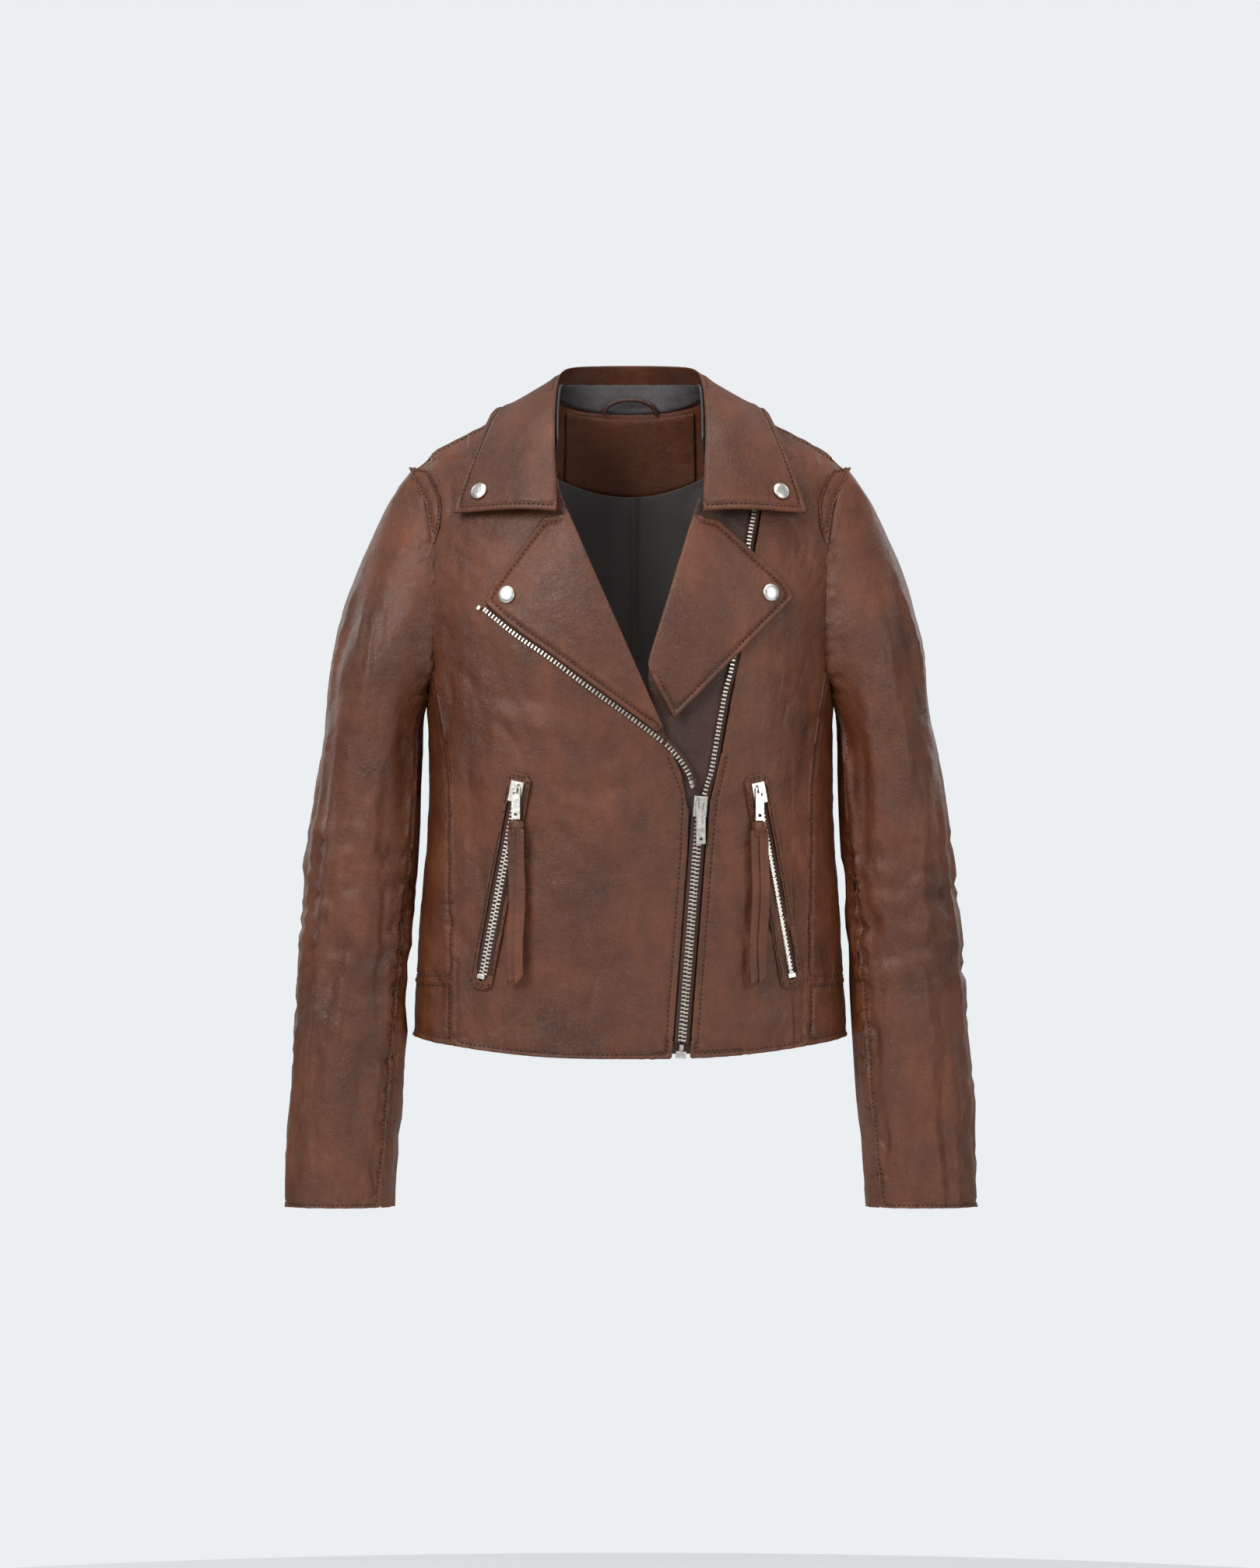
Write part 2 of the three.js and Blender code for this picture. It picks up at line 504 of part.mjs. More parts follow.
const share = (points, tip) => {
  const length = (list) => list.slice(1).reduce((sum, p, i) =>
    sum + Math.hypot(p[0] - list[i][0], p[1] - list[i][1]), 0);
  return length(points.slice(0, tip + 1)) / length(points);
};
const rightRim = [LAPEL_RIGHT_TOP, LAPEL_RIGHT_TIP, ...lapelEdge];
const rollFootRight = [ROLL_RIGHT[1][0] - 4, ROLL_RIGHT[1][1] + 9];
const rollHead = ([[x0, z0], [x1, z1]]) => [lerp(x0, x1, (COLLAR_CLEAR - z0) / (z1 - z0)), COLLAR_CLEAR];
add("lapel_right", "leather", sheet(
  lapel([rollHead(ROLL_RIGHT), rollFootRight], rightRim, { u: 0.42, rim: share(rightRim, 1) }),
  LAPEL_THICK, 14, 5, inwardsFront));
const leftRim = [LAPEL_LEFT_TOP, LAPEL_LEFT_TIP, LAPEL_LEFT_FOOT];
add("lapel_left", "leather", sheet(
  lapel([rollHead(ROLL_LEFT), ROLL_LEFT[1]], leftRim, { u: 0.4, rim: share(leftRim, 1) }), LAPEL_THICK, 12, 5, inwardsFront));

// Zip guard: the wearer's left front goes on behind the zip and turns over as the left lapel.
const GUARD_DEPTH = LEATHER + LAYER + 1.05;
add("zip_guard", "leather", sheet((u, v) => {
  const z = lerp(HEM_Z + 4, -84, v);
  const inner = z > ROLL_LEFT[1][1] - 10
    ? lerp(ROLL_LEFT[1][0], ROLL_LEFT[0][0], (z - ROLL_LEFT[1][1]) / (ROLL_LEFT[0][1] - ROLL_LEFT[1][1])) + 1
    : lerp(24, ROLL_LEFT[1][0], Math.max(0, (z + 330) / (96)));
  const outer = table(leftEdge, z) + 9;
  return onFront(lerp(inner, outer, u), z, -GUARD_DEPTH);
}, 1.6, 4, 16, inwardsFront));

// ---- Zips ---------------------------------------------------------------------------------
// One tape with its row of teeth, along path(v); hand says on which side of the teeth the tape lies.
function zipHalf(name, path, hand, lift, rows) {
  const half = CHAIN_WIDTH / 2;
  add(name, "tape", sheet((u, v) => {
    const { p, d } = path(v);
    const across = u < 0.5 ? lerp(0.15, half, u / 0.5) : lerp(half + 0.05, TAPE_HALF, (u - 0.5) / 0.5);
    const x = p.x + hand * -d.z * across, z = p.z + hand * d.x * across;
    return onFront(x, z, lift - (u < 0.51 ? 0 : (CHAIN_THICK - TAPE_THICK) / 2));
  }, (u) => (u < 0.51 ? CHAIN_THICK : TAPE_THICK), 4, rows, inwardsFront));
}
const along = (curve, from, to) => (v) => {
  const t = lerp(from, to, v);
  return { p: curve.getPointAt(t), d: curve.getTangentAt(t) };
};
const straight = new THREE.LineCurve3(vec(ZIP_HEAD.x, 0, ZIP_HEAD.z), vec(ZIP_FOOT.x, 0, ZIP_FOOT.z));
const LAPEL_ZIP_LIFT = 2.6; // the turned tape lies on the front
const TURN = 0.8; // share of the row that lies on the lapel; the rest turns under at its foot
zipHalf("main_zip_lapel", along(lapelZip, 0.015, TURN), 1, LAPEL_ZIP_LIFT, 15);
zipHalf("main_zip_turn", along(lapelZip, TURN + 0.004, 0.955), 1, LAPEL_ZIP_LIFT, 4);
zipHalf("main_zip_right", along(straight, 0, 1), -1, 0, 4);
const closedRow = [0, 0.25, 0.5, 0.75, 0.93].map((t) =>
  [lerp(ZIP_FOOT.x, ZIP_HEAD.x, t), lerp(ZIP_FOOT.z, ZIP_HEAD.z, t)]);
const leftZip = curve2([...closedRow, ...LEFT_ZIP]);
zipHalf("main_zip_left", along(leftZip, 0, 1), -1, 0, 20);

// A frame of axes on the front: x across, y out of the leather, z up along the zip.
function place(p, up, out) {
  const z = up.clone().normalize();
  const x = out.clone().cross(z).normalize();
  const y = z.clone().cross(x);
  return new THREE.Matrix4().makeBasis(x, y, z).setPosition(p);
}
const outOf = (x, z) => onFront(x, z, 1).sub(front(x, z));

// The bail over the slider holds the pull's bar, which turns in it.
const BAIL = { half: 1.6, leg: 0.8, reach: 2.8, roof: 0.8, bar: 1.5 };
const BAR_Y = SLIDER.clearance + SLIDER.plate + 0.45 + BAIL.bar / 2 + 0.1;
const BAR_Z = SLIDER.length / 2 - 5;
function slider(name, frame) {
  const base = SLIDER.clearance;
  const top = base + SLIDER.plate;
  const roofY = BAR_Y + BAIL.bar / 2 + 0.6;
  const flange = boxAt(0.9, base + 0.25, SLIDER.length * 0.55, 0, (base - 0.05) / 2, -SLIDER.length * 0.2);
  const legs = [-1, 1].map((s) => boxAt(BAIL.half * 2, roofY - top + 0.2, BAIL.leg,
    0, (roofY + top) / 2, BAR_Z + s * (BAIL.reach + BAIL.leg / 2)));
  const geometry = join(
    boxAt(SLIDER.width, SLIDER.plate, SLIDER.length, 0, (base + top) / 2, 0),
    flange.clone().translate(-SLIDER.width / 2 + 0.45, 0, 0), flange.clone().translate(SLIDER.width / 2 - 0.45, 0, 0),
    ...legs, boxAt(BAIL.half * 2, BAIL.roof, 2 * (BAIL.reach + BAIL.leg), 0, roofY + BAIL.roof / 2, BAR_Z));
  add(name, "nickel", geometry.applyMatrix4(frame));
}
const EYE = { half: 2.5, length: 5.4 };
function pull(name, frame, length) {
  const body = cut(boxAt(PULL.width, PULL.thick, length, 0, 0, -length / 2 + PULL.thick / 2),
    boxAt(EYE.half * 2, PULL.thick * 2, EYE.length, 0, 0, -PULL.thick / 2 - EYE.length / 2));
  const hole = boxAt(2.6, PULL.thick * 2, 2.4, 0, 0, -length + 5);
  add(name, "nickel", cut(body, hole).applyMatrix4(frame));
}
const barPlace = (frame) => vec(0, BAR_Y, BAR_Z).applyMatrix4(frame);

const headPoint = front(ZIP_HEAD.x, ZIP_HEAD.z), footPoint = front(ZIP_FOOT.x, ZIP_FOOT.z);
const mainFrame = place(headPoint, headPoint.clone().sub(footPoint), outOf(ZIP_HEAD.x, ZIP_HEAD.z));
slider("main_slider", mainFrame);
// Pulls and tassels hang straight down, facing the way their slider faces.
const upright = (p, frame) => place(p, vec(0, 0, 1), vec(0, 0, 0).setFromMatrixColumn(frame, 1));
pull("main_pull", upright(barPlace(mainFrame), mainFrame), PULL.length + 8);

// Pin and box at the foot of the main zip, and the stops at the tops of both rows.
const footFrame = place(footPoint, headPoint.clone().sub(footPoint), outOf(ZIP_FOOT.x, ZIP_FOOT.z));
add("zip_pin", "nickel", boxAt(3.2, 2, 5, 0, -1.1, -2.9).applyMatrix4(footFrame));
add("zip_box", "nickel", join(boxAt(8.6, 2.8, 5.6, 0, -1.1, -8.6), boxAt(5.4, 3.4, 3.6, 0, -1.1, -8.6))
  .applyMatrix4(footFrame));
function topStop(name, [x, z], [x2, z2], lift) {
  const p = onFront(x, z, lift), up = onFront(x, z, lift).sub(onFront(x2, z2, lift));
  add(name, "nickel", boxAt(3.4, CHAIN_THICK + 0.4, 2.8, 0, -CHAIN_THICK / 2, 2.6)
    .applyMatrix4(place(p, up, outOf(x, z))));
}
topStop("zip_stop_right", LAPEL_ZIP[0], LAPEL_ZIP[1], LAPEL_ZIP_LIFT);
topStop("zip_stop_left", LEFT_ZIP.at(-1), LEFT_ZIP.at(-2), 0);

// ---- Pockets ------------------------------------------------------------------------------
function tassel(name, bottom, frame) {
  const knot = new THREE.SphereGeometry(TASSEL.knot, 10, 8).scale(1, 0.72, 0.95);
  const strand = (dx, dy, drop) => boxAt(TASSEL.strand, TASSEL.thick, TASSEL.length - drop,
    dx, dy, -(TASSEL.length - drop) / 2 - TASSEL.knot * 0.4);
  add(name, "leather", join(knot, strand(-3.4, 0.85, 0), strand(3.4, -0.85, 4))
    .applyMatrix4(upright(bottom.clone().add(vec(0, 0, -TASSEL.knot * 0.95 - 0.3)), frame)));
}
for (const [word, { top, foot }] of Object.entries(POCKETS)) {
  const a = front(...top), b = front(...foot);
  const length = a.distanceTo(b);
  const midX = (top[0] + foot[0]) / 2, midZ = (top[1] + foot[1]) / 2;
  const frame = place(a.clone().lerp(b, 0.5), a.clone().sub(b), outOf(midX, midZ));
  // The frame is lifted until the leather under it is clear.
  const inverse = frame.clone().invert();
  let lift = 0;
  for (let i = 0; i <= 20; i++)
    for (const s of [-1, -0.5, 0, 0.5, 1]) {
      const p = vec(s * POCKET_WIDTH / 2, 0, (i / 20 - 0.5) * (length + 2 * POCKET_MARGIN)).applyMatrix4(frame);
      lift = Math.max(lift, front(p.x, p.z).applyMatrix4(inverse).y);
    }
  lift += LAYER;
  const slot = { width: TAPE_HALF * 2 + 0.4, length: length + 2 };
  add(`pocket_welt_${word}`, "leather", cut(
    boxAt(POCKET_WIDTH, 1.4, length + 2 * POCKET_MARGIN, 0, lift + 0.7, 0),
    boxAt(slot.width, 6, slot.length, 0, lift, 0)).applyMatrix4(frame));
  const run = length - 6;
  const teethY = lift + TAPE_THICK / 2 + CHAIN_THICK / 2 - 0.3;
  add(`pocket_zip_${word}`, "tape", join(
    boxAt(TAPE_HALF * 2 - 0.2, TAPE_THICK, length + 1, 0, lift + TAPE_THICK / 2, 0),
    boxAt(CHAIN_WIDTH, CHAIN_THICK - TAPE_THICK, run, 0, teethY, 3)).applyMatrix4(frame));
  const onTeeth = lift + CHAIN_THICK - 0.05;
  add(`pocket_stop_${word}`, "nickel", boxAt(6.4, 2, 3.4, 0, lift + TAPE_THICK + 1.35, -length / 2 + 3.6)
    .applyMatrix4(frame));
  const sliderFrame = frame.clone().multiply(new THREE.Matrix4().makeTranslation(0, onTeeth, length / 2 - 8));
  slider(`pocket_slider_${word}`, sliderFrame);
  const bar = barPlace(sliderFrame);
  pull(`pocket_pull_${word}`, upright(bar, sliderFrame), PULL.length);
  tassel(`pocket_tassel_${word}`, bar.clone().add(vec(0, 0, PULL.thick / 2 - PULL.length)), sliderFrame);
  const inner = word === "right" ? [-136, -62] : [86, 136];
  add(`pocket_bag_${word}`, "satin", sheet((u, v) => {
    const z = lerp(-498, -326, v);
    return onFront(lerp(inner[0], inner[1], u), z, -(LEATHER + LAYER + 0.5));
  }, 1.8, 6, 6, inwardsFront));
}

// ---- Press snaps --------------------------------------------------------------------------
// Axes for a round piece that lies on a face: y out of it.
function facing(p, out) {
  const x = out.clone().cross(vec(0, 0, 1)).normalize();
  const y = out.clone().normalize();
  return new THREE.Matrix4().makeBasis(x, y, x.clone().cross(y)).setPosition(p);
}
const SNAPS = { lapel_right: [-100, -166.4], lapel_left: [114.2, -164.5] };
const COLLAR_SNAP = { u: 0.043, v: 0.76 };
function domeCap(name, frame) {
  const profile = [[0, 0], [SNAP_R - 0.8, 0], [SNAP_R, 0.7], [SNAP_R * 0.86, 1.6], [SNAP_R * 0.5, 2.15], [0, SNAP_DOME]];
  const lathe = new THREE.LatheGeometry(profile.map(([r, h]) => new THREE.Vector2(r, h)), 24);
  add(name, "nickel", fromSolid(toSolid(lathe)).applyMatrix4(frame));
}
function stud(name, frame, height) {
  const profile = [[0, 0], [4.6, 0], [4.6, 0.6], [2.2, 0.8], [2.2, height], [0, height]];
  const lathe = new THREE.LatheGeometry(profile.map(([r, h]) => new THREE.Vector2(r, h)), 16);
  add(name, "nickel", fromSolid(toSolid(lathe)).applyMatrix4(frame));
}
for (const [word, [x, z]] of Object.entries(SNAPS)) {
  const out = outOf(x, z);
  const lift = LAPEL_LIFT + LAPEL_THICK + 0.1;
  domeCap(`snap_cap_${word}`, facing(onFront(x, z, lift + 0.4), out));
  stud(`snap_stud_${word}`, facing(onFront(x, z, 0.4), out), 1.1);
}
for (const [word, side] of [["right", -1], ["left", 1]]) {
  const u = side < 0 ? COLLAR_SNAP.u : 1 - COLLAR_SNAP.u, v = COLLAR_SNAP.v, e = 0.035;
  const p = leaf(u, v);
  const out = leaf(u + e, v).sub(leaf(u - e, v)).cross(leaf(u, v + e).sub(leaf(u, v - e))).normalize();
  if (out.y > 0) out.negate();
  domeCap(`snap_cap_collar_${word}`, facing(p.clone().addScaledVector(out, 0.7), out));
  const under = p.clone().addScaledVector(out, -COLLAR_THICK - 1.4);
  const below = onFront(under.x, under.z, 0.7);
  stud(`snap_stud_collar_${word}`, facing(below, outOf(under.x, under.z)),
    Math.max(0.9, below.distanceTo(under) - 0.9));
}
// The hook that carries the jacket passes under the loop, at the part's origin.
const part = new THREE.Group();
jacket.position.y = -(LOOP.y - 3.5);
part.add(jacket);

export default part;
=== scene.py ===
"""Leather riding jacket: the finished surfaces, stitches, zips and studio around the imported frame."""
import math
import random

import bmesh
import bpy
import numpy as np
from mathutils import Matrix, Vector, noise
from mathutils.bvhtree import BVHTree
from mathutils.kdtree import KDTree


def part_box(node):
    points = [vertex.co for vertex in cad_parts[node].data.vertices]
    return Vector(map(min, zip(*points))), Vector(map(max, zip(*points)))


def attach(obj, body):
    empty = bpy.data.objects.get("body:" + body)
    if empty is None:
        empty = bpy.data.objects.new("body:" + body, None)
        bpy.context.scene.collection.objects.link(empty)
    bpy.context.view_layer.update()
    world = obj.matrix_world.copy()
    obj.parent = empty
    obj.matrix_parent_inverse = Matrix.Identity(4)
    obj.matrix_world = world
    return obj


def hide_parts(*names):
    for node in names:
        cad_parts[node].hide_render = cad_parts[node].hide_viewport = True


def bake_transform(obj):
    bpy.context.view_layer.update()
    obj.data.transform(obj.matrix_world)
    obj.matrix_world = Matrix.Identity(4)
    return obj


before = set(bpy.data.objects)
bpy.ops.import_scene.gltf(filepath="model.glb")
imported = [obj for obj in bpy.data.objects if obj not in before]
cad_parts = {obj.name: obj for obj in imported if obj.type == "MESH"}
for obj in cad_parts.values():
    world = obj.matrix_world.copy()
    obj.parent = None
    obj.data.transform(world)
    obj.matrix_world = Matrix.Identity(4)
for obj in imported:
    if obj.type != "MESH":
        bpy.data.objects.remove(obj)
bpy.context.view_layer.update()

bl_info = {
    "name": "Riding jacket dresser",
    "version": (1, 0, 0),
    "blender": (4, 5, 0),
    "location": "3D View > Sidebar > Jacket",
    "description": "Dresses the packed riding jacket in leather, satin, stitches and zips",
    "category": "Object",
}

MM = 0.001
SIDES = ("right", "left")


# ---- settings a user would change -----------------------------------------------------------
class JacketSettings(bpy.types.PropertyGroup):
    stitch_length: bpy.props.FloatProperty(
        name="Stitch length", description="Length of one stitch of the thread", default=3.0 * MM,
        unit="LENGTH")
    stitch_pitch: bpy.props.FloatProperty(
        name="Stitch pitch", description="From one stitch to the next", default=4.0 * MM, unit="LENGTH")
    thread: bpy.props.FloatProperty(
        name="Thread", description="Thickness of the sewing thread", default=0.9 * MM, unit="LENGTH")
    tooth_pitch: bpy.props.FloatProperty(
        name="Tooth pitch", description="From one zip tooth to the next on one tape",
        default=3.3 * MM, unit="LENGTH")
    crease_depth: bpy.props.FloatProperty(
        name="Crease depth", description="Depth of the elbow creases", default=3.3 * MM, unit="LENGTH")
    leather_colour: bpy.props.StringProperty(
        name="Leather", description="Colour of the leather's lit grain, sRGB hex", default="753f20")
    lining_colour: bpy.props.StringProperty(
        name="Lining", description="Colour of the satin lining, sRGB hex", default="5a5352")
    backdrop_colour: bpy.props.StringProperty(
        name="Backdrop", description="Colour of the floor and the studio, sRGB hex", default="eceff1")


def settings():
    return bpy.context.scene.jacket


# ---- materials ------------------------------------------------------------------------------
def linear(hex_colour):
    """An sRGB hex colour as linear red, green, blue and full alpha."""
    channels = [int(hex_colour[i:i + 2], 16) / 255 for i in (0, 2, 4)]
    return [c / 12.92 if c <= 0.04045 else ((c + 0.055) / 1.055) ** 2.4 for c in channels] + [1.0]


def node(tree, kind, links=(), **values):
    """Adds a node; values set its sockets or attributes, links are (socket, source node, output)."""
    made = tree.nodes.new(kind)
    for key, value in values.items():
        if hasattr(made, key) and key not in made.inputs:
            setattr(made, key, value)
        else:
            made.inputs[int(key[1:]) if key[0] == "_" else key.replace("_", " ")].default_value = value
    for socket, source, output in links:
        tree.links.new(source.outputs[output], made.inputs[socket])
    return made


def start(name):
    """A new material, its empty tree and the object's own coordinates as a link for a texture."""
    material = bpy.data.materials.new(name)
    material.use_nodes = True
    tree = material.node_tree
    tree.nodes.clear()
    return material, tree, ("Vector", node(tree, "ShaderNodeTexCoord"), "Object")


def finish(tree, links, **values):
    """Ends a material with its shader; each link is (socket, source node)."""
    shader = node(tree, "ShaderNodeBsdfPrincipled", [(socket, source, 0) for socket, source in links],
                  **values)
    node(tree, "ShaderNodeOutputMaterial", [(0, shader, 0)])


def tinted(hex_colour, factor):
    """A hex colour with each channel multiplied, and held to white."""
    return "%02x%02x%02x" % tuple(min(255, int(int(hex_colour[i:i + 2], 16) * factor)) for i in (0, 2, 4))


def ramp(tree, source, output, stops):
    made = node(tree, "ShaderNodeValToRGB", [("Fac", source, output)])
    elements = made.color_ramp.elements
    while len(elements) < len(stops):
        elements.new(0.5)
    for element, (position, colour) in zip(elements, stops):
        element.position = position
        element.color = linear(colour) if isinstance(colour, str) else [colour] * 3 + [1]
    return made


def grained_leather(name, dark, mid, light, rough=(0.36, 0.6)):
    """Aniline nappa, drum dyed: fine pebbled grain, and cloudy dye that is paler in random patches."""
    material, tree, here = start(name)
    # Dye clouds about 70 mm across, and streaks of 22 mm drawn out three times as long upright.
    cloud = node(tree, "ShaderNodeTexNoise", [here], Scale=14, Detail=6, Roughness=0.62)
    upright = node(tree, "ShaderNodeMapping", [here], Scale=(1.0, 1.0, 0.35))
    streak = node(tree, "ShaderNodeTexNoise", [("Vector", upright, 0)], Scale=46, Detail=5, Roughness=0.7)
    dye = node(tree, "ShaderNodeMix", [(2, cloud, 0), (3, streak, 0)], data_type="FLOAT", _0=0.4)
    colour = ramp(tree, dye, 0, [(0.3, dark), (0.5, mid), (0.72, light)])
    # Pebbles of 1.4 mm, drawn a little coarser than the real 0.8 mm so that they show.
    pebbles = node(tree, "ShaderNodeTexVoronoi", [here], feature="DISTANCE_TO_EDGE", Scale=720,
                   Randomness=1.0)
    pebble = ramp(tree, pebbles, 0, [(0.0, 0.0), (0.16, 1.0)])
    # Pores of 0.7 mm.
    pores = node(tree, "ShaderNodeTexNoise", [here], Scale=1500, Detail=2)
    # Hair-thin creases every 14 mm or so, where the hide has flexed.
    warp = node(tree, "ShaderNodeTexNoise", [here], Scale=60, Detail=3)
    bent = node(tree, "ShaderNodeMix", [(4, *here[1:]), (5, warp, 1)], data_type="VECTOR", _0=0.03)
    creases = node(tree, "ShaderNodeTexVoronoi", [("Vector", bent, 1)], feature="DISTANCE_TO_EDGE",
                   Scale=70)
    crease = ramp(tree, creases, 0, [(0.0, 0.0), (0.05, 1.0)])
    # Soft hollows of 26 mm.
    soft = node(tree, "ShaderNodeTexNoise", [here], Scale=38, Detail=4, Roughness=0.55)
    relief = []
    for height, strength, depth in ((pebble, 0.5, 0.3 * MM), (pores, 0.16, 0.2 * MM),
                                    (crease, 0.35, 0.5 * MM), (soft, 0.7, 4 * MM)):
        below = [("Normal", relief[-1], 0)] if relief else []
        relief.append(node(tree, "ShaderNodeBump", [("Height", height, 0), *below], Strength=strength,
                           Distance=depth))
    gloss = node(tree, "ShaderNodeMapRange", [("Value", cloud, 0)], _1=0.3, _2=0.75, _3=rough[0],
                 _4=rough[1])
    finish(tree, [("Base Color", colour), ("Roughness", gloss), ("Normal", relief[-1])],
           IOR=1.48, Coat_Weight=0.08, Coat_Roughness=0.35)
    return material


def satin(name, base):
    """Woven viscose satin: smooth across the warp, with a soft directional sheen."""
    material, tree, here = start(name)
    cloud = node(tree, "ShaderNodeTexNoise", [here], Scale=9, Detail=3)
    colour = ramp(tree, cloud, 0, [(0.3, tinted(base, 0.72)), (0.7, base)])
    # Warp threads, drawn 1.2 mm wide where the real ones are 0.1 mm, so that they show.
    weave = node(tree, "ShaderNodeTexWave", [here], wave_type="BANDS", bands_direction="X", Scale=260,
                 Distortion=0.5)
    bump = node(tree, "ShaderNodeBump", [("Height", weave, 1)], Strength=0.08, Distance=0.1 * MM)
    finish(tree, [("Base Color", colour), ("Normal", bump)], Roughness=0.42, Anisotropic=0.5,
           Sheen_Weight=0.3, Sheen_Roughness=0.4)
    return material


def nickel(name, tone, rough):
    """Cast zinc, barrel plated in nickel: a warm grey metal with a soft brushed gloss."""
    material, tree, here = start(name)
    # Tumbling leaves marks of about 2 mm.
    wear = node(tree, "ShaderNodeTexNoise", [here], Scale=420, Detail=4)
    gloss = node(tree, "ShaderNodeMapRange", [("Value", wear, 0)], _1=0.3, _2=0.7, _3=rough - 0.06,
                 _4=rough + 0.1)
    colour = ramp(tree, wear, 0, [(0.25, "d2cec6"), (0.75, tone)])
    bump = node(tree, "ShaderNodeBump", [("Height", wear, 0)], Strength=0.05, Distance=0.1 * MM)
    finish(tree, [("Base Color", colour), ("Roughness", gloss), ("Normal", bump)], Metallic=1.0)
    return material


def woven(name, base, scale, rough):
    """Spun polyester, as thread or herringbone tape: matt, with ribs 363 / scale mm apart."""
    material, tree, here = start(name)
    ribs = node(tree, "ShaderNodeTexWave", [here], wave_type="BANDS", bands_direction="DIAGONAL",
                Scale=scale, Distortion=1.0)
    colour = ramp(tree, ribs, 1, [(0.2, base), (0.9, tinted(base, 1.35))])
    bump = node(tree, "ShaderNodeBump", [("Height", ribs, 1)], Strength=0.4, Distance=0.2 * MM)
    finish(tree, [("Base Color", colour), ("Normal", bump)], Roughness=rough)
    return material


MATERIALS = {}


def make_materials():
    """Mixes each finish once, for all the pieces."""
    s = settings()
    MATERIALS.update({
        "nappa": grained_leather("nappa leather, drum dyed", "3c1b0a", "582c13", s.leather_colour),
        # A darker copy of the same nappa: painted shade for the zip guard and the hanger loop, which sit
        # in shadow inside the fronts and the neck.
        "nappa_painted_shade": grained_leather("nappa leather, darkened for painted shade", "2c1409", "3a1c0d", "4a2612"),
        "charcoal": grained_leather("lamb leather, dyed charcoal", "2a2627", "383334", "474142",
                                    (0.5, 0.7)),
        "satin": satin("viscose satin lining", s.lining_colour),
        "nickel": nickel("nickel plated zinc, satin", "efece6", 0.36),
        "teeth": nickel("nickel plated brass teeth", "efe8da", 0.42),
        "tape": woven("herringbone zip tape", "35211a", 420, 0.85),         # ribs of 0.9 mm
        "thread": woven("bonded polyester thread", "26120a", 900, 0.6),     # plies of 0.4 mm
    })


# ---- the hang of the cloth ------------------------------------------------------------------
def ease(value, low, high):
    """0 up to low, 1 from high, and smooth between them."""
    t = min(1.0, max(0.0, (value - low) / (high - low)))
    return t * t * (3 - 2 * t)


def cad_points(*names):
    """The CAD's own vertices of some pieces."""
    return [v.co.copy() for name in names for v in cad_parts[name].data.vertices]


def tree_of(points):
    made = KDTree(len(points))
    for i, p in enumerate(points):
        made.insert(p, i)
    made.balance()
    return made


HARDWARE = tree_of(cad_points(*[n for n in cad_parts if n.startswith(
    ("main_", "snap_", "zip_", "pocket_zip", "pocket_stop", "pocket_slider", "hanger", "lapel_"))]))
ARMHOLES = tree_of([p for p in cad_points("sleeve_upper_right", "sleeve_upper_left")
                    if abs(p.x) < 0.19 and p.z > -0.26])
BODY_HALF, BODY_DEPTH = 0.18, 0.075
BODY_MID_Y = -0.05


ROW_TOP, ROW_STEP, ROW_COUNT, ROW_REACH = -0.13, 0.025, 23, 0.03


def sleeve_rows():
    """The sleeve's middle, x and y, at each height, from the CAD's own vertices."""
    rows = []
    points = cad_points("sleeve_upper_left", "sleeve_under_left")
    for step in range(ROW_COUNT):
        z = ROW_TOP - ROW_STEP * step
        near = [p for p in points if abs(p.z - z) < ROW_REACH]
        rows.append([(min(p[k] for p in near) + max(p[k] for p in near)) / 2 for k in (0, 1)])
    return rows


ROWS = sleeve_rows()


def sleeve_middle(z):
    at = min(len(ROWS) - 1.001, max(0.0, (ROW_TOP - z) / ROW_STEP))
    i = int(at)
    t = at - i
    return [ROWS[i][k] * (1 - t) + ROWS[i + 1][k] * t for k in (0, 1)]


def elbow_creases():
    """Creases round the crook of the elbow: height, tilt, middle angle, reach, depth."""
    dice = random.Random(11)
    top, pitch, count = -0.372, 0.0148, 9
    made = []
    for step in range(count):
        made.append((top - pitch * step + dice.uniform(-0.003, 0.003), dice.uniform(-0.012, 0.014),
                     dice.uniform(-2.3, -1.2), dice.uniform(0.8, 1.5), dice.uniform(0.55, 1.0)))
    return made


CREASES = elbow_creases()


def ripple(p, x, y, z):
    """Noise that changes faster along an axis with a larger factor."""
    return noise.noise(Vector((p.x * x, p.y * y, p.z * z)))


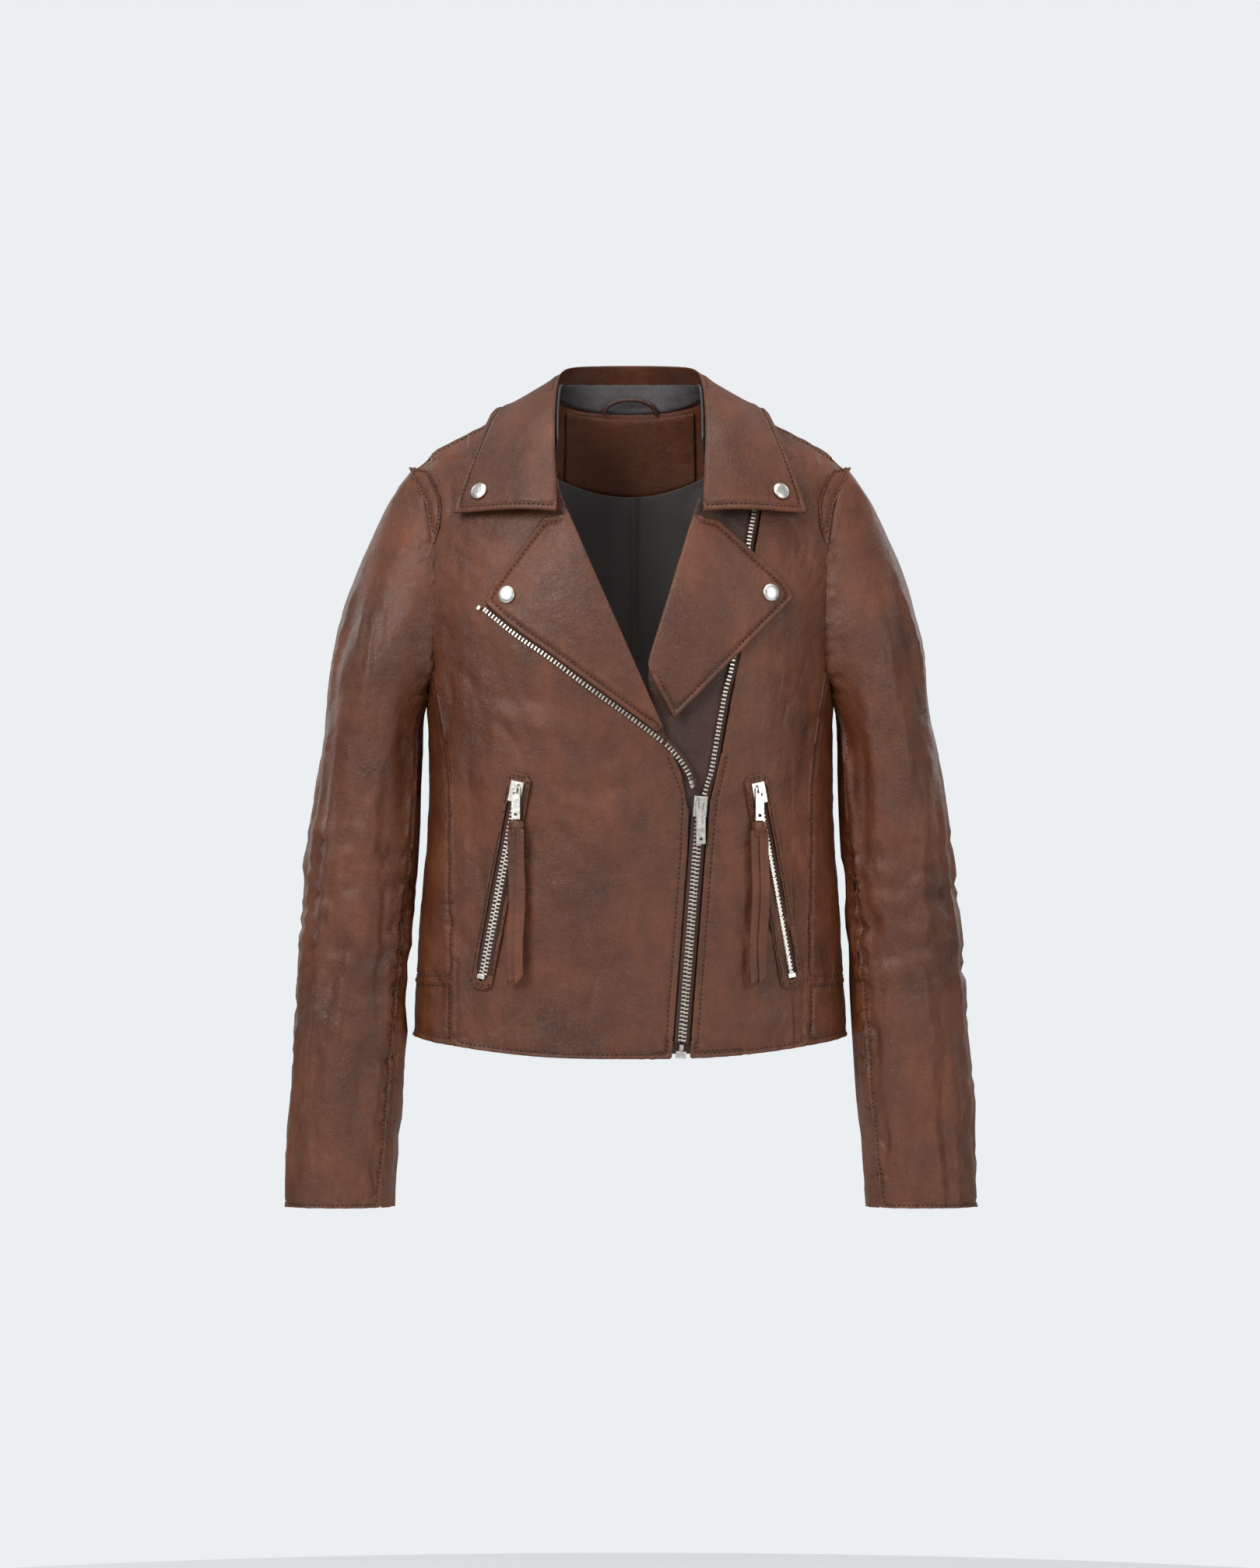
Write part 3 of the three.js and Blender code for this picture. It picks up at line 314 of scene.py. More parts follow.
def sleeve_drape(p, side):
    """How far the sleeve's leather stands out of its plain tube, and which way is out."""
    mid_x, mid_y = sleeve_middle(p.z)
    out = Vector((p.x - side * mid_x, p.y - mid_y, 0))
    if out.length < 1e-5:
        return Vector()
    out.normalize()
    turn = math.atan2(out.y, out.x * side)       # 0 away from the body, -pi/2 to the front
    height = 0.0
    depth, width = settings().crease_depth, 4.2 * MM
    for z, tilt, middle, reach, strength in CREASES:
        away = turn - middle
        share = math.exp(-(away / reach) ** 2)
        line = z + tilt * away + 6 * MM * noise.noise(Vector((turn * 2.5, z * 90, side * 3)))
        gap = (p.z - line) / width
        height += depth * strength * share * (0.55 * math.exp(-((gap - 1.7) / 1.3) ** 2)
                                               - math.exp(-gap * gap))
    # Long folds that run down from the shoulder.
    fold = noise.noise(Vector((turn * 1.55 + 4 * side, p.z * 3.2 + 1.2 * turn, 7.7)))
    fold = 1 - abs(fold) * 2.6
    window = ease(-p.z, 0.13, 0.2) * (1 - 0.55 * ease(-p.z, 0.36, 0.46))
    height += 4.2 * MM * window * max(-0.6, fold - 0.45)
    height += 2.1 * MM * noise.noise(p * 22 + Vector((0, 0, side * 9))) * ease(-p.z, 0.12, 0.2)
    height += 1.6 * MM * ripple(p, 70, 70, 16) * ease(-p.z, 0.12, 0.25)
    crook = ease(-p.z, 0.34, 0.4) * (1 - ease(-p.z, 0.5, 0.56))
    height += hide_creases(p, (20, 20, 72), 0.08, 1.9 * MM * (0.2 + crook), 2.1 + side)
    height += hide_creases(p, (34, 30, 52), 0.07, 1.4 * MM, 5.3 + side) * ease(-p.z, 0.2, 0.5)
    height += hide_creases(p, (62, 62, 30), 0.09, 0.6 * MM, 8.9 + side) * (1 - crook)
    # Quiet at the sleeve's head, and never out towards the body.
    height *= ease(-p.z, 0.09, 0.15) if abs(p.x) > 0.2 else ease(ARMHOLES.find(p)[2], 0.004, 0.03)
    if out.x * side < 0.1:
        height = min(0.4 * MM, height)
    return out * height


def hide_creases(p, stretch, width, depth, seed):
    """Thin valleys along the zero lines of a stretched noise."""
    n = noise.noise(Vector([c * k for c, k in zip(p, stretch)]) + Vector((seed, seed * 1.7, seed * 0.3)))
    return -depth * math.exp(-(n / width) ** 2)


SHOULDER_TIP = (0.188, -0.055)      # x and z
BACK_HALF = 0.135                   # past this the panels turn round the side


def body_drape(p):
    """The small folds of the body panels, quiet at the hardware and the armholes."""
    out = Vector((p.x / BODY_HALF ** 2, (p.y - BODY_MID_Y) / BODY_DEPTH ** 2, 0))
    if out.length < 1e-3:
        return Vector()
    out.normalize()
    height = 4.2 * MM * noise.noise(p * 11 + Vector((3, 1, 4)))
    height += 2.8 * MM * ripple(p, 34, 34, 7) * ease(-p.z, 0.25, 0.5)
    height += 1.2 * MM * noise.noise(Vector((p.x * 60 + p.z * 30, p.y * 60, p.z * 50)))
    height += hide_creases(p + Vector((0.4 * p.z, 0, 0)), (20, 20, 27), 0.075, 1.7 * MM, 1.2)
    height += hide_creases(p, (48, 48, 58), 0.07, 0.7 * MM, 6.2)
    near_arm = ARMHOLES.find(p)[2]
    tip_at = Vector((math.copysign(SHOULDER_TIP[0], p.x), p.y, SHOULDER_TIP[1]))
    tip = 1 - ease((p - tip_at).length, 0.004, 0.03)
    pull = ripple(p, 90, 20, 25)
    height += -2.2 * MM * ease(0.07 - near_arm, 0, 0.06) * (0.5 + pull)
    if abs(p.x) > BACK_HALF:
        height = -abs(height) * 0.7
    height *= ease(HARDWARE.find(p)[2], 0.008, 0.04) * ease(near_arm, 0.004, 0.03)
    if p.y > BODY_MID_Y and abs(p.x) < BACK_HALF:
        height = max(-0.4 * MM, height)     # clear of the lining
    return out * height + Vector((-math.copysign(0.004, p.x), 0, -0.005)) * tip


def bag_drape(p):
    """A pocket bag follows the front that it hangs behind, a little further in."""
    return body_drape(p) + Vector((0, 1.1 * MM, 0))


def stiff_drape(p):
    """The collar leaf shows only the hide's own small waves."""
    height = 0.7 * MM * noise.noise(p * 34) + hide_creases(p, (40, 40, 46), 0.06, 0.3 * MM, 3.3)
    return Vector((0, -height, 0)) * ease(HARDWARE.find(p)[2], 0.006, 0.02)


def stand_drape(p):
    """The charcoal leather stops short of the roll, which shows the collar's own leather."""
    low, kept = 6 * MM, 0.42
    share = ease(p.y, -0.06, -0.02)
    return Vector((0, 0, -max(0.0, p.z - low) * (1 - kept) * share))


def lining_drape(p):
    """Soft upright folds in the back of the lining, and a pleat down its middle."""
    folds = 2.2 * MM * max(0.0, noise.noise(Vector((p.x * 42, 2.0, p.z * 6))) + 0.2)
    middle, width, clear = 3.5 * MM, 2.8 * MM, 1.2 * MM
    pleat = 2.6 * MM * math.exp(-((p.x - middle) / width) ** 2) * ease(-p.z, 0.05, 0.08)
    return Vector((0, -(folds + pleat + clear) * (1 - ease(abs(p.x), 0.1, 0.14)), 0))


def no_drape(p):
    return Vector()


TASSEL_FOOT, TASSEL_X = -0.4866, {"right": -0.094, "left": 0.1067}


def tassel_drape(p):
    """The straps are cut at a slant and twist a little as they hang."""
    share = 1 - ease(p.z - TASSEL_FOOT, 0.001, 0.012)
    side = TASSEL_X["right" if p.x < 0 else "left"]
    twist = 1.2 * MM * math.sin((p.z + 0.38) * 60 + side * 30)
    return Vector((twist * ease(-p.z, 0.37, 0.4), 0, (p.x - side) * 1.1 * share))


def drape_of(name):
    if name.startswith("sleeve"):
        return lambda p: sleeve_drape(p, 1 if p.x > 0 else -1)
    if name == "lining_back":
        return lining_drape
    if name == "collar_leaf":
        return stiff_drape
    if name == "collar_stand":
        return stand_drape
    if name.startswith("pocket_tassel"):
        return tassel_drape
    if name.startswith("pocket_bag"):
        return bag_drape
    if name.startswith(("lapel", "pocket", "hanger", "back_neck", "shoulder", "zip")):
        return no_drape
    return body_drape


def outward(name, p):
    """Roughly away from the wearer, to tell a piece's outer face from its inner one."""
    if name.startswith("sleeve"):
        mid_x, mid_y = sleeve_middle(p.z)
        return Vector((p.x - math.copysign(mid_x, p.x), p.y - mid_y, 0)).normalized()
    if name.startswith(("lapel", "pocket", "shoulder")):
        return Vector((0, -1, 0.1))
    if name.startswith("collar"):
        return Vector((p.x, p.y + 0.045, 0.03)).normalized()
    return Vector((p.x / BODY_HALF ** 2, (p.y - BODY_MID_Y) / BODY_DEPTH ** 2, 0)).normalized()


# ---- cutting and sewing ---------------------------------------------------------------------
RIM_ANGLE = math.radians(50)
OUTER = 0.3             # a face turned at least this far out belongs to the outside
WELD = 0.001 * MM


def rim_samples(bm, name):
    """Points 1 mm apart along the edge of a piece's outer face."""
    points = []
    for e in bm.edges:
        if len(e.link_faces) != 2 or e.calc_face_angle(0) < RIM_ANGLE:
            continue
        middle = (e.verts[0].co + e.verts[1].co) / 2
        out = outward(name, middle)
        facing = sorted(f.normal.dot(out) for f in e.link_faces)
        if facing[1] < OUTER or facing[0] > OUTER + 0.2:
            continue
        count = max(1, int((e.verts[0].co - e.verts[1].co).length / MM))
        for i in range(count):
            points.append(e.verts[0].co.lerp(e.verts[1].co, (i + 0.5) / count))
    return points


def nearest_all(tree, points):
    return np.array([tree.find(p)[2] for p in points])


NEIGHBOURS = {
    "front_panel_": ("side_panel_", "hem_band_", "back_panel"),
    "side_panel_": ("front_panel_", "hem_band_", "back_panel"),
    "hem_band_": ("front_panel_", "side_panel_", "back_panel"),
    "back_panel": ("front_panel_", "side_panel_", "hem_band_"),
    "sleeve_upper_": ("sleeve_under_",),
    "sleeve_under_": ("sleeve_upper_",),
}
OPEN_EDGED = ("pocket", "hanger", "lining", "sleeve_lining", "collar", "lapel", "zip", "back_neck")
RIMS = {}


def rim_of(name):
    """The outer edge of a CAD piece, kept from one call to the next."""
    if name not in RIMS:
        bm = bmesh.new()
        bm.from_mesh(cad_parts[name].data)
        bmesh.ops.remove_doubles(bm, verts=bm.verts, dist=WELD)
        bm.normal_update()
        RIMS[name] = rim_samples(bm, name)
        bm.free()
    return RIMS[name]


def spread(vectors, edge, shifts, firm, reach):
    """Every point follows the shift of the edge point nearest to it, fading from firm to reach."""
    near = tree_of(edge)
    found = [near.find(p)[1:] for p in vectors]
    return np.array([shifts[i] * (1 - ease(gap, firm, reach)) if gap < reach else Vector()
                     for i, gap in found])


def close_rim(name, vectors, rim):
    """Puts back the edge that smoothing has drawn in, and brings pieces sewn together edge to edge."""
    own = tree_of(rim)
    edge = [] if name.startswith(OPEN_EDGED) else [v for v in vectors if own.find(v)[2] < 1.4 * MM]
    if not edge:
        return np.zeros((len(vectors), 3))
    word = next((k for k in NEIGHBOURS if name.startswith(k)), None)
    others = [p for start_word in NEIGHBOURS.get(word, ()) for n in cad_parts
              if n.startswith(start_word) and n != name for p in rim_of(n)]
    other = tree_of(others) if others else None
    shoulder_z, shoulder_gap, side_gap = -0.1, 9 * MM, 3.4 * MM
    shifts = []
    for v in edge:
        r, _, _ = own.find(v)
        target = r
        if other:
            q, _, gap = other.find(r)
            if gap < (shoulder_gap if r.z > shoulder_z else side_gap):
                target = (r + q) / 2
        shifts.append(target - v)
    return spread(vectors, edge, shifts, 1.5 * MM, 5 * MM)


class Seam:
    """A row of stitches a set way in from the edge of a piece, with the leather pulled down by it."""

    def __init__(self, inset, where=None, groove=0.7 * MM, roll=0.4 * MM, sewn=True):
        self.inset, self.where, self.groove = inset, where or (lambda p: True), groove
        self.roll, self.sewn = roll, sewn


def base_mesh(name, levels, crease):
    """The CAD piece as quads, smoothed, with its cut edges kept firm."""
    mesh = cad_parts[name].data.copy()
    bm = bmesh.new()
    bm.from_mesh(mesh)
    bmesh.ops.remove_doubles(bm, verts=bm.verts, dist=WELD)
    bm.normal_update()
    bmesh.ops.join_triangles(bm, faces=bm.faces, angle_face_threshold=0.5, angle_shape_threshold=0.7,
                             cmp_seam=False, cmp_sharp=False, cmp_uvs=False, cmp_vcols=False,
                             cmp_materials=False)
    layer = bm.edges.layers.float.get("crease_edge") or bm.edges.layers.float.new("crease_edge")
    for e in bm.edges:
        if e.calc_face_angle(0) > RIM_ANGLE:
            e[layer] = crease
    bm.to_mesh(mesh)
    bm.free()
    mesh.materials.clear()
    made = bpy.data.objects.new("cut_" + name, mesh)
    bpy.context.scene.collection.objects.link(made)
    subdivision = made.modifiers.new("smooth", "SUBSURF")
    subdivision.levels = subdivision.render_levels = levels
    shown = made.evaluated_get(bpy.context.evaluated_depsgraph_get())
    smooth_mesh = bpy.data.meshes.new_from_object(shown)
    made.modifiers.clear()
    made.data = smooth_mesh
    return made


def refine(mesh, name, seam_tree, reach, finest):
    """Cuts the cloth finer within reach of its edge, so that it can be pulled down along a seam."""
    bm = bmesh.new()
    bm.from_mesh(mesh)
    for _ in range(3):
        bm.normal_update()
        close = {v for v in bm.verts if seam_tree.find(v.co)[2] < reach and
                 v.normal.dot(outward(name, v.co)) > 0.1}
        edges = [e for e in bm.edges if e.calc_length() > finest and e.verts[0] in close
                 and e.verts[1] in close]
        if not edges:
            break
        bmesh.ops.subdivide_edges(bm, edges=edges, cuts=1, use_grid_fill=True)
    bmesh.ops.triangulate(bm, faces=[f for f in bm.faces if len(f.verts) > 4])
    bm.to_mesh(mesh)
    bm.free()


def arrays(mesh):
    """A mesh's points and normals, one row each."""
    count = len(mesh.vertices)
    co, normal = np.zeros(count * 3), np.zeros(count * 3)
    mesh.vertices.foreach_get("co", co)
    mesh.vertex_normals.foreach_get("vector", normal)
    return co.reshape(-1, 3), normal.reshape(-1, 3)


def contour(mesh, values, level, allowed):
    """Chains of (point, normal) along one level of a value given at each vertex."""
    mesh.calc_loop_triangles()
    tris = np.zeros(len(mesh.loop_triangles) * 3, np.int64)
    mesh.loop_triangles.foreach_get("vertices", tris)
    tris = tris.reshape(-1, 3)
    v = values[tris]
    keep = (v.min(1) < level) & (v.max(1) >= level) & allowed[tris].all(1)
    co, normal = arrays(mesh)
    points, links = {}, {}
    for tri in tris[keep]:
        ends = []
        for a, b in ((0, 1), (1, 2), (2, 0)):
            i, j = int(tri[a]), int(tri[b])
            if (values[i] < level) != (values[j] < level):
                key = (min(i, j), max(i, j))
                if key not in points:
                    t = (level - values[key[0]]) / (values[key[1]] - values[key[0]])
                    points[key] = (co[key[0]] * (1 - t) + co[key[1]] * t,
                                   normal[key[0]] * (1 - t) + normal[key[1]] * t)
                ends.append(key)
        if len(ends) == 2:
            links.setdefault(ends[0], []).append(ends[1])
            links.setdefault(ends[1], []).append(ends[0])
    chains, used = [], set()
    for first in sorted(links, key=lambda k: (len(links[k]), k)):
        if first in used:
            continue
        chain, at = [first], first
        used.add(first)
        while True:
            onward = [k for k in links[at] if k not in used]
            if not onward:
                break
            at = onward[0]
            used.add(at)
            chain.append(at)
        if len(chain) > 3:
            chains.append([points[k] for k in chain])
    return chains


def tube_faces(first, rings, sides, closed=False):
    """Quads from each ring of vertices to the next, and a cap on each end unless the tube is closed."""
    faces = []
    for ring in range(rings if closed else rings - 1):
        a, b = first + ring * sides, first + (ring + 1) % rings * sides
        faces += [(a + k, a + (k + 1) % sides, b + (k + 1) % sides, b + k) for k in range(sides)]
    if not closed:
        faces.append(tuple(first + k for k in reversed(range(sides))))
        faces.append(tuple(first + (rings - 1) * sides + k for k in range(sides)))
    return faces


STITCH_SIDES = 6
# Share along, girth and height of each ring of a stitch: the ends dive into the needle holes.
STITCH_RINGS = ((0, 0.55, -0.5), (0.2, 0.95, 0.25), (0.5, 1.0, 0.45), (0.8, 0.95, 0.25), (1, 0.55, -0.5))


def stitch_row(chain, verts, faces, pitch, length, thick):
    """Adds plump stitches along a chain of points and normals."""
    p = np.array([c[0] for c in chain])
    n = np.array([c[1] for c in chain])
    step = np.linalg.norm(np.diff(p, axis=0), axis=1)
    run = np.concatenate([[0], np.cumsum(step)])
    if run[-1] < 1.4 * pitch:
        return
    for _ in range(2):
        p[1:-1] = (p[:-2] + 2 * p[1:-1] + p[2:]) / 4
    count = int(run[-1] / pitch)
    for i in range(count):
        middle = (i + 0.5) * run[-1] / count
        ends = [np.array([np.interp(middle + half * length, run, p[:, k]) for k in range(3)])
                for half in (-0.5, 0.5)]
        up = np.array([np.interp(middle, run, n[:, k]) for k in range(3)])
        along = ends[1] - ends[0]
        size = np.linalg.norm(along)
        if size < length * 0.5:
            continue
        along /= size
        across = np.cross(along, up)
        across /= max(1e-9, np.linalg.norm(across))
        up = np.cross(across, along)
        faces += tube_faces(len(verts), len(STITCH_RINGS), STITCH_SIDES)
        for share, girth, lift in STITCH_RINGS:
            centre = ends[0] + along * size * share + up * thick * lift
            for k in range(STITCH_SIDES):
                a = 2 * math.pi * k / STITCH_SIDES
                verts.append(centre + (across * math.cos(a) + up * math.sin(a)) * thick / 2 * girth)


def mesh_object(name, verts, faces, material, smooth_shaded=True):
    mesh = bpy.data.meshes.new(name)
    mesh.from_pydata([tuple(v) for v in verts], [], faces)
    mesh.validate()
    mesh.polygons.foreach_set("use_smooth", [smooth_shaded] * len(mesh.polygons))
    mesh.materials.append(MATERIALS[material])
    made = bpy.data.objects.new(name, mesh)
    bpy.context.scene.collection.objects.link(made)
    return made


PUCKER = 0.35 * MM      # how far the leather bunches along a seam


def sew(name, material, seams=(), levels=2, crease=0.7, slot="nappa_leather", join=None):
    """Makes a CAD piece over again in cloth or leather, with its drape, grooves and stitches."""
    made, rim = base_mesh(name, levels, crease), rim_of(name)
    mesh = made.data
    trees = []
    for seam in seams:
        own = [p for p in rim if seam.where(p)]
        if not own:
            raise RuntimeError(name + " has no edge where a seam was asked for")
        trees.append(tree_of(own))
    if seams:
        whole = tree_of([p for p in rim if any(s.where(p) for s in seams)])
        refine(mesh, name, whole, max(s.inset for s in seams) + 6 * MM, 1.9 * MM)
    co, normal = arrays(mesh)
    vectors = [Vector(c) for c in co]
    drape = drape_of(name)
    moved = np.array([drape(p) for p in vectors]).reshape(-1, 3)
    outs = np.array([outward(name, p) for p in vectors])
    faces_out = (normal * outs).sum(1) > 0.25
    everywhere = nearest_all(tree_of(rim), vectors) if seams else None
    near = [nearest_all(t, vectors) for t in trees]
    for seam, d in zip(seams, near):
        dip = -seam.groove * np.exp(-((d - seam.inset) / (1.5 * MM)) ** 2)
        roll = seam.roll * np.exp(-((d - seam.inset * 0.45) / (1.6 * MM)) ** 2)
        roll += seam.roll * 0.7 * np.exp(-((d - seam.inset - 3.6 * MM) / (2.4 * MM)) ** 2)
        wobble = np.array([noise.noise(p * 190) for p in vectors])
        close = np.exp(-((d - seam.inset) / (5 * MM)) ** 2)
        height = (dip + roll + PUCKER * wobble * close) * faces_out
        moved += normal * height[:, None]
    moved += close_rim(name, vectors, rim)
    if join:
        moved += join([Vector(c) for c in co + moved], rim)
    mesh.vertices.foreach_set("co", (co + moved).ravel())
    mesh.update()
    made.name = mesh.name = "leather_" + name if "nappa" in material else "cloth_" + name
    mesh.materials.append(MATERIALS[material])
    mesh.polygons.foreach_set("use_smooth", [True] * len(mesh.polygons))
    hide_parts(name)
    verts, faces = [], []
    s = settings()
    for seam, d in zip(seams, near):
        if not seam.sewn:
            continue
        allowed = faces_out & (everywhere > seam.inset - 1.7 * MM)
        for chain in contour(mesh, d, seam.inset, allowed):
            stitch_row(chain, verts, faces, s.stitch_pitch, s.stitch_length, s.thread)
    stitches = None
    if verts:
        stitches = mesh_object("stitches_" + name, verts, faces, "thread")
    return made, stitches


def ride(body, *objects):
    """Makes each piece that exists move with a body."""
    for made in objects:
        if made is not None:
            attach(made, body)


def bend(body, start_at, end, *objects):
    """Bakes each piece's transform into its mesh."""
    for made in objects:
        if made is not None:
            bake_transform(made)


def fit(name, material, cut, area, seams=(), **how):
    """Sews a piece that stays with the jacket's body, and hangs it."""
    made, stitches = sew(name, material, seams, **how)
    ride("jacket", made, stitches)


# ---- zips -----------------------------------------------------------------------------------
ZIP_FOOT, ZIP_HEAD = (42.6, -536), (57.6, -340)
LAPEL_ZIP = [(-122, -178), (-95, -200), (-68, -218.5), (-38.7, -240.5), (-6, -264),
             (17, -281), (33, -294.5), (46, -312), (51, -326)]
LEFT_ZIP = [(57.6, -340), (62, -322), (66, -309), (71, -279), (77, -246), (83, -222),
            (90, -170), (97, -120), (101, -98), (106, -62)]
POCKETS = {"right": ((-91, -320), (-122.5, -484)), "left": ((103.5, -321), (133, -483))}
TOOTH = Vector((3.9, 1.9, 2.5)) * MM       # across the tape, along it, and through it


def spline(points):
    """Points about 0.4 mm apart on a smooth line through the given (x, z) in mm."""
    step = 0.4
    p = [Vector((x, z)) for x, z in points]
    p = [2 * p[0] - p[1], *p, 2 * p[-1] - p[-2]]
    made = []
    for a, b, c, d in zip(p, p[1:], p[2:], p[3:]):
        count = max(2, int((c - b).length / step))
        for i in range(count):
            t = i / count
            made.append(0.5 * (2 * b + (c - a) * t + (2 * a - 5 * b + 4 * c - d) * t * t
                               + (3 * b - a - 3 * c + d) * t ** 3))
    return made + [p[-2]]


def surface_of(*names):
    """The CAD faces of some pieces, to find the nearest or the first hit."""
    bm = bmesh.new()
    for name in names:
        bm.from_mesh(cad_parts[name].data)
    tree = BVHTree.FromBMesh(bm)
    bm.free()
    return tree


def on_surface(tree, x, z):
    """The point and the outer normal met from the front at x, z."""
    hit, normal, _, _ = tree.ray_cast(Vector((x, -0.4, z)), Vector((0, 1, 0)))
    if hit is None:
        hit, normal, _, _ = tree.find_nearest(Vector((x, -0.14, z)))
    if normal.y > 0:
        normal = -normal
    return hit, normal


def zip_frames(tree, path, hand):
    """Point, along, across and out at each step of a row of teeth."""
    side_step, frames = 1.5, []
    for a, b in zip(path, path[1:]):
        d = (b - a).normalized()
        across2 = Vector((-d.y, d.x)) * hand
        probe = (a + across2 * side_step) * MM
        hit, normal = on_surface(tree, probe.x, probe.y)
        frames.append((Vector((a.x * MM, hit.y, a.y * MM)), d, across2, normal))
    # The surface's facets are evened out over a few millimetres.
    reach, smoothed = 8, []
    for i, (p, d, across2, normal) in enumerate(frames):
        near = frames[max(0, i - reach):i + reach + 1]
        out = sum((f[3] for f in near), Vector()).normalized()
        along = Vector((d.x, 0, d.y))
        along = (along - out * along.dot(out)).normalized()
        across = out.cross(along)
        if across.dot(Vector((across2.x, 0, across2.y))) < 0:
            across = -across
        y = sum(f[0].y for f in near) / len(near)
        smoothed.append((Vector((p.x, p.y * 0.5 + y * 0.5, p.z)), along, across, out))
    return smoothed


# Distance from the middle of the zip and thickness, across one tape, in mm.
TAPE = [(0.9, 1.2), (1.7, 1.7), (2.5, 1.2), (3.1, 0.8), (6.2, 0.8)]


def zip_tape(name, frames):
    """One tape, thin where it is sewn and thicker at the cord that the teeth grip."""
    depth, every = 1.1 * MM, 3
    verts = []
    for p, along, across, out in frames[::every]:
        deep = p - out * depth
        verts += [deep + across * (u * MM) + out * t * MM / 2 for u, t in TAPE]
        verts += [deep + across * (u * MM) - out * t * MM / 2 for u, t in reversed(TAPE)]
    sides = 2 * len(TAPE)
    made = mesh_object(name, verts, tube_faces(0, len(verts) // sides, sides), "tape")
    fix_normals(made)
    return made


def fix_normals(made):
    """Turns all faces outwards."""
    bm = bmesh.new()
    bm.from_mesh(made.data)
    bmesh.ops.recalc_face_normals(bm, faces=bm.faces)
    bm.to_mesh(made.data)
    bm.free()


# A tooth seen from its face: waisted where it grips the cord, with a rounded head.
TOOTH_OUTLINE = [(-0.5, -0.36), (-0.38, -0.5), (-0.12, -0.42), (0.1, -0.3), (0.34, -0.46), (0.5, -0.4),
                 (0.5, 0.4), (0.34, 0.46), (0.1, 0.3), (-0.12, 0.42), (-0.38, 0.5), (-0.5, 0.36)]


# Height through the tooth and size of each outline, from its back to its face.
TOOTH_LEVELS = ((-0.5, 0.86), (-0.36, 1.0), (0.36, 1.0), (0.5, 0.84))


def zip_teeth(name, frames, offset, pitch):
    """One row of teeth along a tape; the offset is a share of the pitch."""
    middle, depth = 1.45 * MM, 1.05 * MM
    verts, faces = [], []
    run, next_at = 0.0, offset * pitch + pitch / 2
    for (p, along, across, out), (q, _, _, _) in zip(frames, frames[1:]):
        run += (q - p).length
        if run < next_at:
            continue
        next_at += pitch
        centre = p + across * middle - out * depth
        faces += tube_faces(len(verts), len(TOOTH_LEVELS), len(TOOTH_OUTLINE))
        for level, size in TOOTH_LEVELS:
            for u, v in TOOTH_OUTLINE:
                verts.append(centre + across * u * TOOTH.x * size + along * v * TOOTH.y * size
                             + out * level * TOOTH.z)
    made = mesh_object(name, verts, faces, "teeth", smooth_shaded=False)
    fix_normals(made)
    return made


HEM_LINE = -0.535       # a panel's edge below this is its hem


# ---- one operator for each group of like pieces -----------------------------------------------
class Piece:
    """What every operator here does: make its pieces from the scene's settings."""
    bl_options = {"REGISTER", "UNDO"}

    def execute(self, context):
        self.make(context.scene.jacket)
        return {"FINISHED"}


